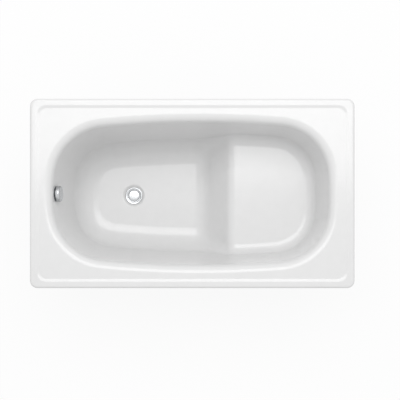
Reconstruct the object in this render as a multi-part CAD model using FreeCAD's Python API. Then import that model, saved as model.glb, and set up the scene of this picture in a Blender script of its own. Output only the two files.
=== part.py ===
"""A short steel bath with a moulded seat, on two leg brackets, with its waste, overflow and trap.

The tub is one pressed and enamelled sheet: a flat rim with a raised lip and a turned-down
skirt, and a basin that runs from a deep foot well at the drain end (-X) up to a seat (+X).
The overflow knob works a plug in the floor through a cable. Millimetres, +Z up, and the
origin on the floor under the middle of the rim.
"""

import FreeCAD, Part
import math
import os

Vector = FreeCAD.Vector
UP = Vector(0, 0, 1)
DOWN = Vector(0, 0, -1)
ALONG = Vector(1, 0, 0)
ACROSS = Vector(0, 1, 0)
CENTRE = Vector(0, 0, 0)

# General
overrun = 40.0
touch = 0.01

# Rim
rim_length = 1200.0
rim_width = 700.0
rim_height = 550.0
rim_corner_radius = 28.0
rim_edge_radius = 9.0
skirt_height = 34.0
sheet = 2.5
lip_width = 23.0
lip_corner_radius = 36.0
step_run = 13.0
deck_corner_radius = 30.0
lip_rise = 3.0

# Basin opening, at the line where the deck starts to roll over
opening_half_width = 297.0
opening_to_drain_end = 552.0
opening_to_seat_end = 541.0
widest_place_x = 29.0
side_radius = 3800.0
drain_corner_radius = 234.0
drain_end_radius = 530.0
seat_corner_radius = 224.0
seat_end_radius = 1025.0
roll_radius = 33.0
roll_steps = 4

# Basin walls and floor
floor_z = 159.0
wall_draft_deg = 7.5
floor_fillet_radius = 98.0

# Seat
seat_z = 307.0
seat_fillet_radius = 44.0
seat_front_top_x = 150.0
seat_front_foot_x = 44.0
seat_front_edge_radius = 53.0
seat_front_foot_radius = 90.0

# Waste hole and its pressed recess
drain_x = -247.0
waste_hole_radius = 26.0
recess_depth = 7.0
recess_floor_radius = 37.0
recess_slope_run = 8.0
recess_edge_radius = 6.0

# Overflow hole and the flat pressed round it
overflow_depth = 66.0
overflow_hole_radius = 26.0
overflow_flat_radius = 35.0
overflow_flat_depth = 4.0

deck_z = rim_height - lip_rise
recess_z = floor_z - recess_depth
draft = math.radians(wall_draft_deg)
steep = math.pi / 2 - draft


def mix(a, b, share):
    return a + (b - a) * share


def smooth(share):
    """0 up to 1 with a level start and end."""
    share = min(1.0, max(0.0, share))
    return share * share * (3 - 2 * share)


def wall_inset(z):
    """How far in from the opening's line the enamel of the wall stands at a height."""
    drop = deck_z - z - roll_radius * (1 - math.cos(steep))
    return roll_radius * math.sin(steep) + drop * math.tan(draft)


def round_at(body, place, radius):
    """Fillet the edges that pass through a place."""
    spot = Part.Vertex(place)
    edges = [e for e in body.Edges if e.distToShape(spot)[0] < touch]
    return body.makeFillet(radius, edges)


def rounded_rectangle(inset, radius, z):
    """A wire of the rim's outline drawn in by an inset, with round corners."""
    half_x = rim_length / 2 - inset
    half_y = rim_width / 2 - inset
    flat_x, flat_y = half_x - radius, half_y - radius
    diagonal = radius * math.sqrt(0.5)
    edges = []
    for sx, sy in ((1, 1), (-1, 1), (-1, -1), (1, -1)):
        side = Vector(sx * half_x, sy * flat_y, z)
        middle = Vector(sx * (flat_x + diagonal), sy * (flat_y + diagonal), z)
        end = Vector(sx * flat_x, sy * half_y, z)
        points = (side, middle, end) if sx * sy > 0 else (end, middle, side)
        edges.append(Part.Arc(*points).toShape())
    lines = []
    for first, second in zip(edges, edges[1:] + edges[:1]):
        start = first.Vertexes[-1].Point
        lines.append(Part.LineSegment(start, second.Vertexes[0].Point).toShape())
    return Part.Wire([edge for pair in zip(edges, lines) for edge in pair])


overflow_z = deck_z - overflow_depth
overflow_place = Vector(wall_inset(overflow_z) - opening_to_drain_end, 0, overflow_z)
overflow_axis = Vector(math.cos(draft), 0, math.sin(draft))


def rounded_block(inset, radius, low, high):
    return Part.Face(rounded_rectangle(inset, radius, low)).extrude(UP * (high - low))


def round_top(block, radius):
    """Round the edges of a block's top face."""
    high = block.BoundBox.ZMax
    edges = [e for e in block.Edges if e.BoundBox.ZMin > high - touch]
    return block.makeFillet(radius, edges)


def step_block(top_z):
    """The space inside the lip: narrower at its foot by the run of the step."""
    wires = [
        rounded_rectangle(lip_width + step_run, deck_corner_radius, top_z - lip_rise),
        rounded_rectangle(lip_width, lip_corner_radius, top_z),
    ]
    return Part.makeLoft(wires, True, True)


def rim_plate():
    """The deck, its raised lip and the skirt, before the basin is sunk into it."""
    foot = rim_height - skirt_height
    outer = rounded_block(0.0, rim_corner_radius, foot, rim_height)
    outer = round_top(outer, rim_edge_radius)
    hollow = rounded_block(sheet, rim_corner_radius - sheet, foot - overrun, rim_height - sheet)
    hollow = round_top(hollow, rim_edge_radius - sheet)
    plate = outer.cut(hollow.cut(step_block(rim_height - sheet)))
    return plate.cut(step_block(rim_height))


def quarter_arcs(length, width, end_radius, corner_radius):
    """Centres and angles of the end, corner and side arcs of a quarter of the opening.

    The three arcs are tangent where they meet, so the corner's centre stands at a known
    distance from both of the others.
    """
    end = Vector(length - end_radius, 0, 0)
    side = Vector(0, width - side_radius, 0)
    to_end = end_radius - corner_radius
    to_side = side_radius - corner_radius
    apart = side - end
    gap = apart.Length
    near = (to_end**2 - to_side**2 + gap**2) / (2 * gap)
    rise = math.sqrt(to_end**2 - near**2)
    way = apart / gap
    corner = end + way * near + Vector(-way.y, way.x, 0) * rise
    if corner.y < 0:
        corner = end + way * near - Vector(-way.y, way.x, 0) * rise
    first = math.atan2(corner.y - end.y, corner.x - end.x)
    second = math.atan2(corner.y - side.y, corner.x - side.x)
    return (
        (end, end_radius, 0.0, first),
        (corner, corner_radius, first, second),
        (side, side_radius, second, math.pi / 2),
    )


def opening_arcs():
    """The arcs of the whole opening, anticlockwise, as (centre, radius, start, end)."""
    seat = quarter_arcs(
        opening_to_seat_end - widest_place_x,
        opening_half_width,
        seat_end_radius,
        seat_corner_radius,
    )
    drain = quarter_arcs(
        opening_to_drain_end + widest_place_x,
        opening_half_width,
        drain_end_radius,
        drain_corner_radius,
    )
    arcs = [(Vector(c.x, c.y, 0), r, a, b) for c, r, a, b in seat]
    arcs += [(Vector(-c.x, c.y, 0), r, math.pi - b, math.pi - a) for c, r, a, b in reversed(drain)]
    arcs += [(Vector(-c.x, -c.y, 0), r, math.pi + a, math.pi + b) for c, r, a, b in drain]
    arcs += [(Vector(c.x, -c.y, 0), r, -b, -a) for c, r, a, b in reversed(seat)]
    return [(c + Vector(widest_place_x, 0, 0), r, a, b) for c, r, a, b in arcs]


def wall_section(inward, low):
    """The roll and the wall in one upright plane, as (inset, z) places: the roll's, the foot."""
    radius = roll_radius - inward
    roll = []
    for step in range(roll_steps + 1):
        turn = steep * step / roll_steps
        roll.append((radius * math.sin(turn), deck_z - roll_radius + radius * math.cos(turn)))
    end = roll[-1]
    return roll, (end[0] + (end[1] - low) * math.tan(draft), low)


def flared_plug(inward, low):
    """The space of the basin without its bottom: the wall's section turned round each arc.

    The enamel's roll is one arc, and the hidden underside's is a few chords of it.
    """
    roll, foot = wall_section(inward, low)
    faces = []
    rings = {roll[0]: [], foot: []}
    for centre, radius, first, last in opening_arcs():
        way = Vector(math.cos(first), math.sin(first), 0)
        turn = math.degrees(last - first)

        def spot(place):
            return centre + way * (radius - place[0]) + UP * place[1]

        section = [Part.LineSegment(spot(roll[-1]), spot(foot)).toShape()]
        if inward:
            chords = zip(roll, roll[1:])
            section += [Part.LineSegment(spot(a), spot(b)).toShape() for a, b in chords]
        else:
            middle = roll[roll_steps // 2]
            section.append(Part.Arc(spot(roll[0]), spot(middle), spot(roll[-1])).toShape())
        for edge in section:
            faces.append(edge.revolve(centre, UP, turn))
        for place in rings:
            ring = Part.Circle(centre + UP * place[1], UP, radius - place[0])
            rings[place].append(ring.toShape(first, last))
    for place in rings:
        faces.append(Part.Face(Part.Wire(rings[place])))
    skin = Part.makeShell(faces)
    skin.sewShape(touch)
    plug = Part.makeSolid(skin)
    if plug.Volume < 0:
        plug.reverse()
    return plug


def ground(inward, low):
    """The solid ground under the basin: floor, seat front and seat, with rounded corners."""
    slant = math.atan2(seat_z - floor_z, seat_front_top_x - seat_front_foot_x)
    shift = inward * math.tan(slant / 2)
    reach = rim_length / 2
    half = rim_width / 2
    corners = [
        (-reach, low - overrun),
        (-reach, floor_z - inward),
        (seat_front_foot_x + shift, floor_z - inward),
        (seat_front_top_x + shift, seat_z - inward),
        (reach, seat_z - inward),
        (reach, low - overrun),
    ]
    points = [Vector(x, -half, z) for x, z in corners]
    block = Part.Face(Part.makePolygon(points + points[:1])).extrude(ACROSS * rim_width)
    block = round_at(block, points[2] + ACROSS * half, seat_front_foot_radius + inward)
    return round_at(block, points[3] + ACROSS * half, seat_front_edge_radius - inward)


def vary_fillet(body, rows):
    """Fillet edges whose radius changes along them: rows of (edge, radius, radius)."""
    work = FreeCAD.newDocument()
    base = work.addObject("Part::Feature", "base")
    base.Shape = body
    fillet = work.addObject("Part::Fillet", "fillet")
    fillet.Base = base
    table = []
    for edge, first, last in rows:
        for number, own in enumerate(body.Edges, 1):
            if own.isSame(edge):
                table.append((number, first, last))
    fillet.Edges = table
    work.recompute()
    result = fillet.Shape.copy()
    FreeCAD.closeDocument(work.Name)
    return result


def foot_radius(x):
    """Radius between wall and bottom: wide in the foot well, tight round the seat."""
    share = (x - seat_front_foot_x) / (seat_front_top_x - seat_front_foot_x)
    return mix(floor_fillet_radius, seat_fillet_radius, smooth(share))


def basin_space(inward):
    """The space inside the basin's enamel, or with inward = sheet, inside its underside."""
    low = floor_z - overrun
    space = flared_plug(inward, low).cut(ground(inward, low))
    rows = []
    for edge in space.Edges:
        if edge.BoundBox.ZMax > (deck_z + seat_z) / 2:
            continue
        faces = space.ancestorsOfType(edge, Part.Face)
        kinds = [face.Surface.TypeId == "Part::GeomCone" for face in faces]
        if kinds.count(True) != 1:
            continue
        ends = [edge.valueAt(edge.FirstParameter), edge.valueAt(edge.LastParameter)]
        rows.append((edge, foot_radius(ends[0].x) + inward, foot_radius(ends[1].x) + inward))
    space = with_recess(vary_fillet(space, rows), inward)
    flat = Part.makeCylinder(
        overflow_flat_radius,
        overflow_flat_depth + inward,
        overflow_place - overflow_axis * inward,
        overflow_axis,
    )
    return space.fuse(flat).removeSplitter()


def with_recess(space, inward):
    """Press the shallow recess for the waste into the floor, with its two edges rounded."""
    slope = math.atan2(recess_depth, recess_slope_run)
    shift = inward * math.tan(slope / 2)
    low, high = recess_z - inward, floor_z - inward
    foot = recess_floor_radius + shift
    edge = foot + recess_slope_run
    pan = Part.makeCone(foot, edge, recess_depth, Vector(drain_x, 0, low), UP)
    space = space.fuse(pan).removeSplitter()
    for radius, z, rounding in (
        (foot, low, recess_edge_radius + inward),
        (edge, high, recess_edge_radius - inward),
    ):
        space = round_at(space, Vector(drain_x + radius, 0, z), rounding)
    return space


def drain_hole(radius, place, axis):
    return Part.makeCylinder(radius, 2 * overrun, place - axis * overrun, axis)


def tub_shell():
    body = rim_plate().fuse(basin_space(sheet)).cut(basin_space(0.0))
    body = body.cut(drain_hole(waste_hole_radius, drain_place, UP))
    return body.cut(drain_hole(overflow_hole_radius, overflow_place, overflow_axis))


def turned(profile):
    """A solid turned round the Z axis from its (radius, height) corners."""
    corners = [Vector(radius, 0, z) for radius, z in profile]
    return Part.Face(Part.makePolygon(corners + corners[:1])).revolve(CENTRE, UP, 360)


def rod(radius, start, end):
    return Part.makeCylinder(radius, (end - start).Length, start, end - start)


def tube(radius, bore, start, end):
    return rod(radius, start, end).cut(rod(bore, start, end))


def box(x, y, z):
    """A box between two values on each axis."""
    sides = (x[1] - x[0], y[1] - y[0], z[1] - z[0])
    return Part.makeBox(*sides, Vector(x[0], y[0], z[0]))


def prism(sides, radius, bore, low, high):
    """A nut or a grip ring: a prism of so many sides with a round bore."""
    turn = 2 * math.pi / sides
    corners = [Vector(radius * math.cos(i * turn), radius * math.sin(i * turn), low)
               for i in range(sides + 1)]
    body = Part.Face(Part.makePolygon(corners)).extrude(UP * (high - low))
    return body.cut(rod(bore, UP * low, UP * high)) if bore else body


def placed(shape, frame):
    shape = shape.copy()
    shape.Placement = frame.multiply(shape.Placement)
    return shape


def cord(points, radius, bore):
    """A cable or hose along a route: straight runs joined by tangent arcs."""
    def section(place, way):
        disc = Part.Face(Part.Wire(Part.Circle(place, way, radius).toShape()))
        if bore:
            disc = disc.cut(Part.Face(Part.Wire(Part.Circle(place, way, bore).toShape())))
        return disc

    pieces = []
    bends = []
    start = points[0]
    for before, corner, after in zip(points, points[1:], points[2:]):
        into = (corner - before).normalize()
        out = (after - corner).normalize()
        turn = into.getAngle(out)
        reach = bend_share * min((corner - before).Length, (after - corner).Length)
        bend = reach / math.tan(turn / 2)
        first = corner - into * reach
        axis = into.cross(out).normalize()
        pieces.append(section(start, into).extrude(first - start))
        arc = section(first, into).revolve(first + axis.cross(into) * bend, axis, math.degrees(turn))
        pieces.append(arc)
        bends.append(bend)
        start = corner + out * reach
    pieces.append(section(start, points[-1] - start).extrude(points[-1] - start))
    print("bend radii", [round(bend, 1) for bend in bends])
    return pieces[0].fuse(pieces[1:]).removeSplitter()


drain_place = Vector(drain_x, 0, recess_z)
drain_frame = FreeCAD.Placement(drain_place, FreeCAD.Rotation())
down_wall = Vector(math.sin(draft), 0, -math.cos(draft))
overflow_turn = FreeCAD.Rotation(down_wall, ACROSS, overflow_axis, "ZXY")
overflow_frame = FreeCAD.Placement(overflow_place, overflow_turn)
parts = {"tub_shell": tub_shell()}

# Waste: heights are from the enamel at the bottom of the recess
gasket_inner_radius = 27.0
gasket_outer_radius = 34.0
upper_gasket_thickness = 1.5
lower_gasket_thickness = 2.0
flange_radius = 35.5
flange_edge = 1.1
flange_crown_radius = 33.0
flange_crown_z = 3.8
dish_radius = 25.0
dish_z = 1.2
throat_radius = 21.0
throat_z = 0.2
throat_foot_z = -22.0
neck_radius = 24.5
under_sheet = -sheet - lower_gasket_thickness


def washer(inner, outer, low, high):
    return tube(outer, inner, UP * low, UP * high)


def in_drain(shape):
    return placed(shape, drain_frame)


parts["waste_gasket_upper"] = in_drain(
    washer(gasket_inner_radius, gasket_outer_radius, 0.0, upper_gasket_thickness))
parts["waste_flange"] = in_drain(turned([
    (throat_radius, throat_foot_z),
    (neck_radius, throat_foot_z),
    (neck_radius, upper_gasket_thickness),
    (flange_radius, upper_gasket_thickness),
    (flange_radius, upper_gasket_thickness + flange_edge),
    (flange_crown_radius, flange_crown_z),
    (dish_radius, dish_z),
    (throat_radius, throat_z),
]))
parts["waste_gasket_lower"] = in_drain(
    washer(gasket_inner_radius, gasket_outer_radius, under_sheet, -sheet))

# Waste body: a bowl with a spigot below, a hose inlet and the housing of the lever
collar_thickness = 4.0
neck_end_z = -24.0
bowl_radius = 30.0
bowl_bore = 27.5
bowl_foot_z = -56.5
bowl_floor = 3.0
spigot_radius = 18.5
spigot_bore = 16.0
spigot_end_z = -74.0
inlet_z = -30.0
boss_radius = 17.0
boss_reach = 33.0
nipple_radius = 11.2
nipple_bore = 9.0
nipple_reach = 52.0
housing_x = (-9.0, 9.0)
housing_y = (-56.0, -20.0)
housing_z = (-56.0, -22.0)
cavity_x = (-7.0, 7.0)
cavity_y = (-54.0, -10.0)
cavity_z = (-53.5, -24.0)
lever_pin_radius = 2.0
lever_pivot = Vector(0, -33.0, -42.9)
pin_half_length = 9.0
cable_port_z = -31.0
wire_hole_radius = 1.2


def waste_body():
    foot = UP * bowl_foot_z
    inlet = UP * inlet_z
    body = rod(gasket_outer_radius, UP * (under_sheet - collar_thickness), UP * under_sheet)
    body = body.fuse([
        rod(bowl_radius, foot, UP * (under_sheet - collar_thickness)),
        rod(spigot_radius, UP * spigot_end_z, foot),
        rod(boss_radius, inlet, inlet - ALONG * boss_reach),
        rod(nipple_radius, inlet, inlet - ALONG * nipple_reach),
        box(housing_x, housing_y, housing_z),
    ])
    bowl_floor_z = bowl_foot_z + bowl_floor
    pivot_pin = rod(
        lever_pin_radius,
        lever_pivot - ALONG * pin_half_length,
        lever_pivot + ALONG * pin_half_length,
    )
    port = Vector(0, housing_y[0], cable_port_z)
    body = body.cut([
        rod(neck_radius, UP * neck_end_z, CENTRE),
        rod(bowl_bore, UP * bowl_floor_z, UP * neck_end_z),
        rod(spigot_bore, UP * spigot_end_z, UP * bowl_floor_z),
        rod(nipple_bore, inlet, inlet - ALONG * nipple_reach),
        box(cavity_x, cavity_y, cavity_z),
        pivot_pin,
        rod(wire_hole_radius, port, port + ACROSS * overrun),
    ])
    return body.removeSplitter()


parts["waste_body"] = in_drain(waste_body())

# Stem guide: a hub held on four spokes in the throat of the flange
guide_z = (-18.0, -14.0)
guide_ring_bore = 19.0
guide_hub_radius = 6.0
spoke_half_width = 1.2
stem_radius = 3.0
running_gap = 0.3


def stem_guide():
    reach = (-guide_ring_bore - touch, guide_ring_bore + touch)
    width = (-spoke_half_width, spoke_half_width)
    guide = washer(guide_ring_bore, throat_radius, *guide_z)
    guide = guide.fuse([
        rod(guide_hub_radius, UP * guide_z[0], UP * guide_z[1]),
        box(reach, width, guide_z),
        box(width, reach, guide_z),
    ])
    guide = guide.cut(rod(stem_radius + running_gap, UP * guide_z[0], UP * guide_z[1]))
    return guide.removeSplitter()


parts["stem_guide"] = in_drain(stem_guide())

# Plug: a low bevelled cap with a seal under it, on a stem
cap_radius = 23.7
cap_foot_z = 2.2
cap_edge_z = 4.6
cap_bevel_radius = 21.0
cap_bevel_z = 6.6
cap_top_z = 7.4
cap_flat_radius = 12.0
seal_inner_radius = 19.0
seal_outer_radius = 22.5
seal_foot_z = 0.95
stem_foot_z = -40.0


parts["plug_cap"] = in_drain(turned([
    (0.0, cap_foot_z),
    (cap_radius, cap_foot_z),
    (cap_radius, cap_edge_z),
    (cap_bevel_radius, cap_bevel_z),
    (cap_flat_radius, cap_top_z),
    (0.0, cap_top_z),
]))
parts["plug_seal"] = in_drain(
    washer(seal_inner_radius, seal_outer_radius, seal_foot_z, cap_foot_z))
parts["plug_stem"] = in_drain(rod(stem_radius, UP * stem_foot_z, UP * cap_foot_z))

# Lift lever: a crank on a pin in the housing, with its tip under the stem
lever_tip_radius = 2.5
lever_arm_radius = 2.0
lever_boss_radius = 5.0
lever_half_width = 3.0
crank_reach = 12.0


def lift_lever():
    hub = rod(
        lever_boss_radius,
        lever_pivot - ALONG * lever_half_width,
        lever_pivot + ALONG * lever_half_width,
    )
    tip = Vector(0, 0, lever_pivot.z)
    lever = hub.fuse([
        rod(lever_arm_radius, lever_pivot, tip),
        rod(lever_tip_radius, tip - ALONG * lever_half_width, tip + ALONG * lever_half_width),
        rod(lever_arm_radius, lever_pivot, lever_pivot + UP * crank_reach),
    ])
    bore = rod(
        lever_pin_radius + running_gap,
        lever_pivot - ALONG * lever_half_width,
        lever_pivot + ALONG * lever_half_width,
    )
    return lever.cut(bore).removeSplitter()


parts["lift_lever"] = in_drain(lift_lever())
parts["lever_pin"] = in_drain(rod(
    lever_pin_radius,
    lever_pivot - ALONG * pin_half_length,
    lever_pivot + ALONG * pin_half_length,
))

# Overflow: local Z is out of the wall into the basin and local X is down the wall
overflow_gasket_z = (-5.5, -2.5)
overflow_collar_z = (-9.5, -5.5)
cup_radius = 29.0
cup_bore = 26.0
cup_back_z = -40.0
cup_wall = 3.0
outlet_z = -23.0
outlet_boss_reach = 35.5
outlet_nipple_reach = 56.0
screw_y = 17.0
screw_boss_radius = 4.5
screw_boss_z = -14.0
screw_foot_z = -30.0
screw_radius = 2.2
screw_head_radius = 4.2
screw_head_z = (3.0, 5.6)
cable_port = Vector(0, -24.0, -33.0)
cable_port_radius = 5.5
cable_port_bore = 1.2
cable_port_reach = 42.0


def in_overflow(shape):
    return placed(shape, overflow_frame)


def overflow_body():
    outlet = UP * outlet_z
    body = rod(gasket_outer_radius, UP * overflow_collar_z[0], UP * overflow_collar_z[1])
    body = body.fuse([
        rod(cup_radius, UP * cup_back_z, UP * overflow_collar_z[0]),
        rod(boss_radius, outlet, outlet + ALONG * outlet_boss_reach),
        rod(nipple_radius, outlet, outlet + ALONG * outlet_nipple_reach),
        rod(cable_port_radius, cable_port, cable_port + ALONG * cable_port_reach),
    ])
    back = UP * (cup_back_z + cup_wall)
    body = body.cut([
        rod(cup_bore, back, CENTRE),
        rod(nipple_bore, outlet, outlet + ALONG * outlet_nipple_reach),
        rod(cable_port_bore, cable_port, cable_port + ALONG * cable_port_reach),
    ])
    for side in (-1, 1):
        spot = ACROSS * (side * screw_y)
        boss = rod(screw_boss_radius, spot + back, spot + UP * screw_boss_z)
        body = body.fuse(boss).cut(rod(screw_radius, spot + UP * screw_foot_z, spot))
    return body.removeSplitter()


def overflow_screws():
    screws = []
    for side in (-1, 1):
        spot = ACROSS * (side * screw_y)
        shank = rod(screw_radius, spot + UP * screw_foot_z, spot + UP * screw_head_z[0])
        head = rod(screw_head_radius, spot + UP * screw_head_z[0], spot + UP * screw_head_z[1])
        screws.append(shank.fuse(head).removeSplitter())
    return Part.makeCompound(screws)


parts["overflow_gasket"] = in_overflow(
    washer(gasket_inner_radius, gasket_outer_radius, *overflow_gasket_z))
parts["overflow_body"] = in_overflow(overflow_body())
parts["overflow_screws"] = in_overflow(overflow_screws())

# Overflow carrier: a ring on the enamel with a hub that the knob's shaft turns in
carrier_ring_z = (0.0, 2.0)
carrier_outer_radius = 29.0
carrier_ring_bore = 24.0
carrier_bar_z = (0.0, 3.0)
carrier_bar_half_width = 3.0
carrier_hub_z = (-8.0, 8.0)
carrier_hub_radius = 7.0
carrier_eye_radius = 5.0
shaft_radius = 4.0


def overflow_carrier():
    bar = (-carrier_bar_half_width, carrier_bar_half_width)
    reach = (-carrier_ring_bore - touch, carrier_ring_bore + touch)
    eyes = [rod(carrier_eye_radius, spot + UP * carrier_bar_z[0], spot + UP * carrier_bar_z[1])
            for spot in (ACROSS * screw_y, ACROSS * -screw_y)]
    carrier = washer(carrier_ring_bore, carrier_outer_radius, *carrier_ring_z)
    carrier = carrier.fuse([
        box(reach, bar, carrier_bar_z),
        box(bar, reach, carrier_bar_z),
        rod(carrier_hub_radius, UP * carrier_hub_z[0], UP * carrier_hub_z[1]),
    ] + eyes)
    holes = [rod(screw_radius, spot + UP * carrier_bar_z[0], spot + UP * carrier_bar_z[1])
             for spot in (ACROSS * screw_y, ACROSS * -screw_y)]
    bore = rod(shaft_radius + running_gap, UP * carrier_hub_z[0], UP * carrier_hub_z[1])
    return carrier.cut(holes + [bore]).removeSplitter()


parts["overflow_carrier"] = in_overflow(overflow_carrier())

# Overflow knob: a hollow cap on a shaft with a crank disc behind it
knob_radius = 30.0
knob_wall = 2.0
knob_foot_z = 6.0
knob_side_z = 16.0
knob_bevel_radius = 28.4
knob_bevel_z = 18.8
knob_face_radius = 25.6
knob_top_z = 20.0
knob_top_wall = 2.5
knob_hub_radius = 7.0
knob_hub_z = 9.0
shaft_z = (-20.0, 16.0)
crank_disc_radius = 10.0
crank_disc_z = (-24.0, -20.0)
crank_pin_offset = 6.3
crank_pin_radius = 1.8
crank_pin_end_z = -30.0
grub_screw_radius = 1.5
grub_screw_z = 12.0
grub_screw_reach = 7.0


def overflow_knob():
    inner_radius = knob_radius - knob_wall
    ceiling = knob_top_z - knob_top_wall
    knob = turned([
        (0.0, knob_top_z),
        (knob_face_radius, knob_top_z),
        (knob_bevel_radius, knob_bevel_z),
        (knob_radius, knob_side_z),
        (knob_radius, knob_foot_z),
        (inner_radius, knob_foot_z),
        (inner_radius, knob_side_z),
        (knob_face_radius, ceiling),
        (knob_hub_radius, ceiling),
        (knob_hub_radius, knob_hub_z),
        (shaft_radius, knob_hub_z),
        (shaft_radius, shaft_z[1]),
        (0.0, shaft_z[1]),
    ])
    middle = UP * grub_screw_z
    return knob.cut(rod(grub_screw_radius, middle, middle + ALONG * grub_screw_reach))


def knob_shaft():
    pin = ALONG * -crank_pin_offset
    shaft = rod(shaft_radius, UP * shaft_z[0], UP * shaft_z[1])
    return shaft.fuse([
        rod(crank_disc_radius, UP * crank_disc_z[0], UP * crank_disc_z[1]),
        rod(crank_pin_radius, pin + UP * crank_pin_end_z, pin + UP * crank_disc_z[0]),
    ]).removeSplitter()


grub_start = UP * grub_screw_z + ALONG * shaft_radius
parts["overflow_knob"] = in_overflow(overflow_knob())
parts["knob_shaft"] = in_overflow(knob_shaft())
parts["knob_grub_screw"] = in_overflow(
    rod(grub_screw_radius, grub_start, UP * grub_screw_z + ALONG * grub_screw_reach))

# Overflow hose, from the overflow's nipple down behind the basin to the waste's inlet
bend_share = 0.45
hose_radius = 14.0
hose_bore = 11.5
hose_overlap = 16.0
hose_first_run_share = 0.348
hose_route_shares = [(0.084, 0.262), (0.38, 0.026), (0.72, 0.0)]
hose_nut_radius = 17.5
hose_nut_bore = 14.3
hose_nut_length = 21.0
grip_sides = 12
hose_start = overflow_frame.multVec(Vector(outlet_nipple_reach - hose_overlap, 0, outlet_z))
hose_end = drain_frame.multVec(Vector(hose_overlap - nipple_reach, 0, inlet_z))
hose_fall = hose_start.z - hose_end.z
hose_points = [hose_start, hose_start + down_wall * (hose_fall * hose_first_run_share)]
for along, up in hose_route_shares:
    hose_x = mix(hose_start.x, hose_end.x, along)
    hose_points.append(Vector(hose_x, 0, mix(hose_end.z, hose_start.z, up)))
hose_points.append(hose_end)
parts["overflow_hose"] = cord(hose_points, hose_radius, hose_bore)
print("hose", [tuple(round(v, 1) for v in spot) for spot in hose_points])


def hose_nut(place, way):
    nut = prism(grip_sides, hose_nut_radius, hose_nut_bore, 0.0, hose_nut_length)
    return placed(nut, FreeCAD.Placement(place, FreeCAD.Rotation(UP, way)))


upper_seat = overflow_frame.multVec(Vector(outlet_boss_reach, 0, outlet_z))
lower_seat = drain_frame.multVec(Vector(-boss_reach, 0, inlet_z))
parts["hose_nut_upper"] = hose_nut(upper_seat, down_wall)
parts["hose_nut_lower"] = hose_nut(lower_seat, ALONG * -1)

# Pull cable, from the overflow's cable port to the housing of the lever
cable_radius = 3.0
ferrule_radius = 5.0
ferrule_length = 14.0
cable_inset = 3.0
cable_first_run_share = 0.26
cable_last_run = 54.0
cable_swing = 78.0
cable_route_shares = [
    (0.067, -0.013, 0.513), (0.111, 0.059, 0.288), (0.23, 0.231, 0.117),
    (0.414, 0.513, 0.035), (0.618, 0.756, 0.006), (0.874, 1.0, 0.0),
]
upper_port = overflow_frame.multVec(cable_port + ALONG * cable_port_reach)
lower_port = drain_frame.multVec(Vector(0, housing_y[0], cable_port_z))
cable_start = upper_port + down_wall * cable_inset
cable_end = lower_port - ACROSS * cable_inset
cable_fall = cable_start.z - cable_end.z
cable_points = [cable_start, cable_start + down_wall * (cable_fall * cable_first_run_share)]
for along, across, up in cable_route_shares:
    cable_points.append(Vector(
        mix(cable_start.x, cable_end.x, along),
        mix(cable_start.y, cable_end.y - cable_swing, across),
        mix(cable_end.z, cable_start.z, up),
    ))
print("cable", [tuple(round(v, 1) for v in spot) for spot in cable_points], cable_start, cable_end)
cable_points += [cable_end - ACROSS * cable_last_run, cable_end]
parts["pull_cable"] = cord(cable_points, cable_radius, 0.0)


def ferrule(port, way):
    return tube(ferrule_radius, cable_radius, port, port + way * ferrule_length)


parts["cable_ferrule_upper"] = ferrule(upper_port, down_wall)
parts["cable_ferrule_lower"] = ferrule(lower_port, ACROSS * -1)

# Trap: a tube that dips and rises towards the drain end, with nuts at both joints. Its heights
# are from the enamel at the bottom of the recess, and it is hollow only inside its two joints.
trap_radius = 18.5
trap_bore = 16.0
trap_bend_radius = 23.0
trap_bend_z = -100.0
trap_mouth_depth = 8.0
cup_foot_z = -86.0
cup_top_z = -64.0
socket_radius = 22.0
socket_bore = 19.0
trap_seal_height = 2.5
nut_radius = 27.0
nut_bore = 22.3
nut_length = 19.0
nut_lip = 2.2
socket_start = 75.0
socket_length = 22.0
outlet_radius = 20.0
outlet_bore = 18.0
outlet_reach = 153.0
outlet_overlap = 12.0
outlet_socket_radius = 23.0
outlet_nut_bore = 23.3
outlet_bead_radius = 21.5
outlet_bead_length = 2.0
trap_axis_z = trap_bend_z + trap_bend_radius
mouth_x = -socket_start - socket_length
outlet_seal_x = mouth_x - trap_seal_height
outlet_nut_x = outlet_seal_x + nut_length - nut_lip
outlet_bead_x = outlet_nut_x - nut_length - running_gap


def on_outlet(x):
    return Vector(x, 0, trap_axis_z)


def trap_body():
    """Down from the cup, half a turn round, a quarter turn up and out level to the socket."""
    def disc(place):
        return Part.Face(Part.Wire(Part.Circle(place, UP, trap_radius).toShape()))

    low = UP * trap_bend_z
    rise = low - ALONG * 2 * trap_bend_radius
    wall = socket_radius - socket_bore
    body = rod(trap_radius, low, UP * cup_foot_z).fuse([
        disc(low).revolve(low - ALONG * trap_bend_radius, ACROSS, 180),
        disc(rise).revolve(rise - ALONG * trap_bend_radius, ACROSS * -1, 90),
        rod(trap_radius, on_outlet(-3 * trap_bend_radius), on_outlet(-socket_start)),
        rod(socket_radius, UP * cup_foot_z, UP * cup_top_z),
        rod(outlet_socket_radius, on_outlet(-socket_start), on_outlet(mouth_x)),
    ])
    cup_floor = UP * (cup_foot_z + wall)
    socket_floor = on_outlet(-socket_start - wall)
    body = body.cut([
        rod(socket_bore, cup_floor, UP * cup_top_z),
        rod(trap_bore, cup_floor - UP * trap_mouth_depth, cup_floor),
        rod(outlet_radius, socket_floor, on_outlet(mouth_x)),
        rod(trap_bore, socket_floor + ALONG * trap_mouth_depth, socket_floor),
    ])
    return body.removeSplitter()


def lipped_nut(radius, bore, lip_bore, place, way):
    """A grip ring with a lip across its far end, with its open end at a place."""
    skirt_length = nut_length - nut_lip
    nut = prism(grip_sides, radius, bore, 0.0, skirt_length).fuse(
        prism(grip_sides, radius, lip_bore, skirt_length, nut_length)
    ).removeSplitter()
    return placed(nut, FreeCAD.Placement(place, FreeCAD.Rotation(UP, way)))


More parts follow.
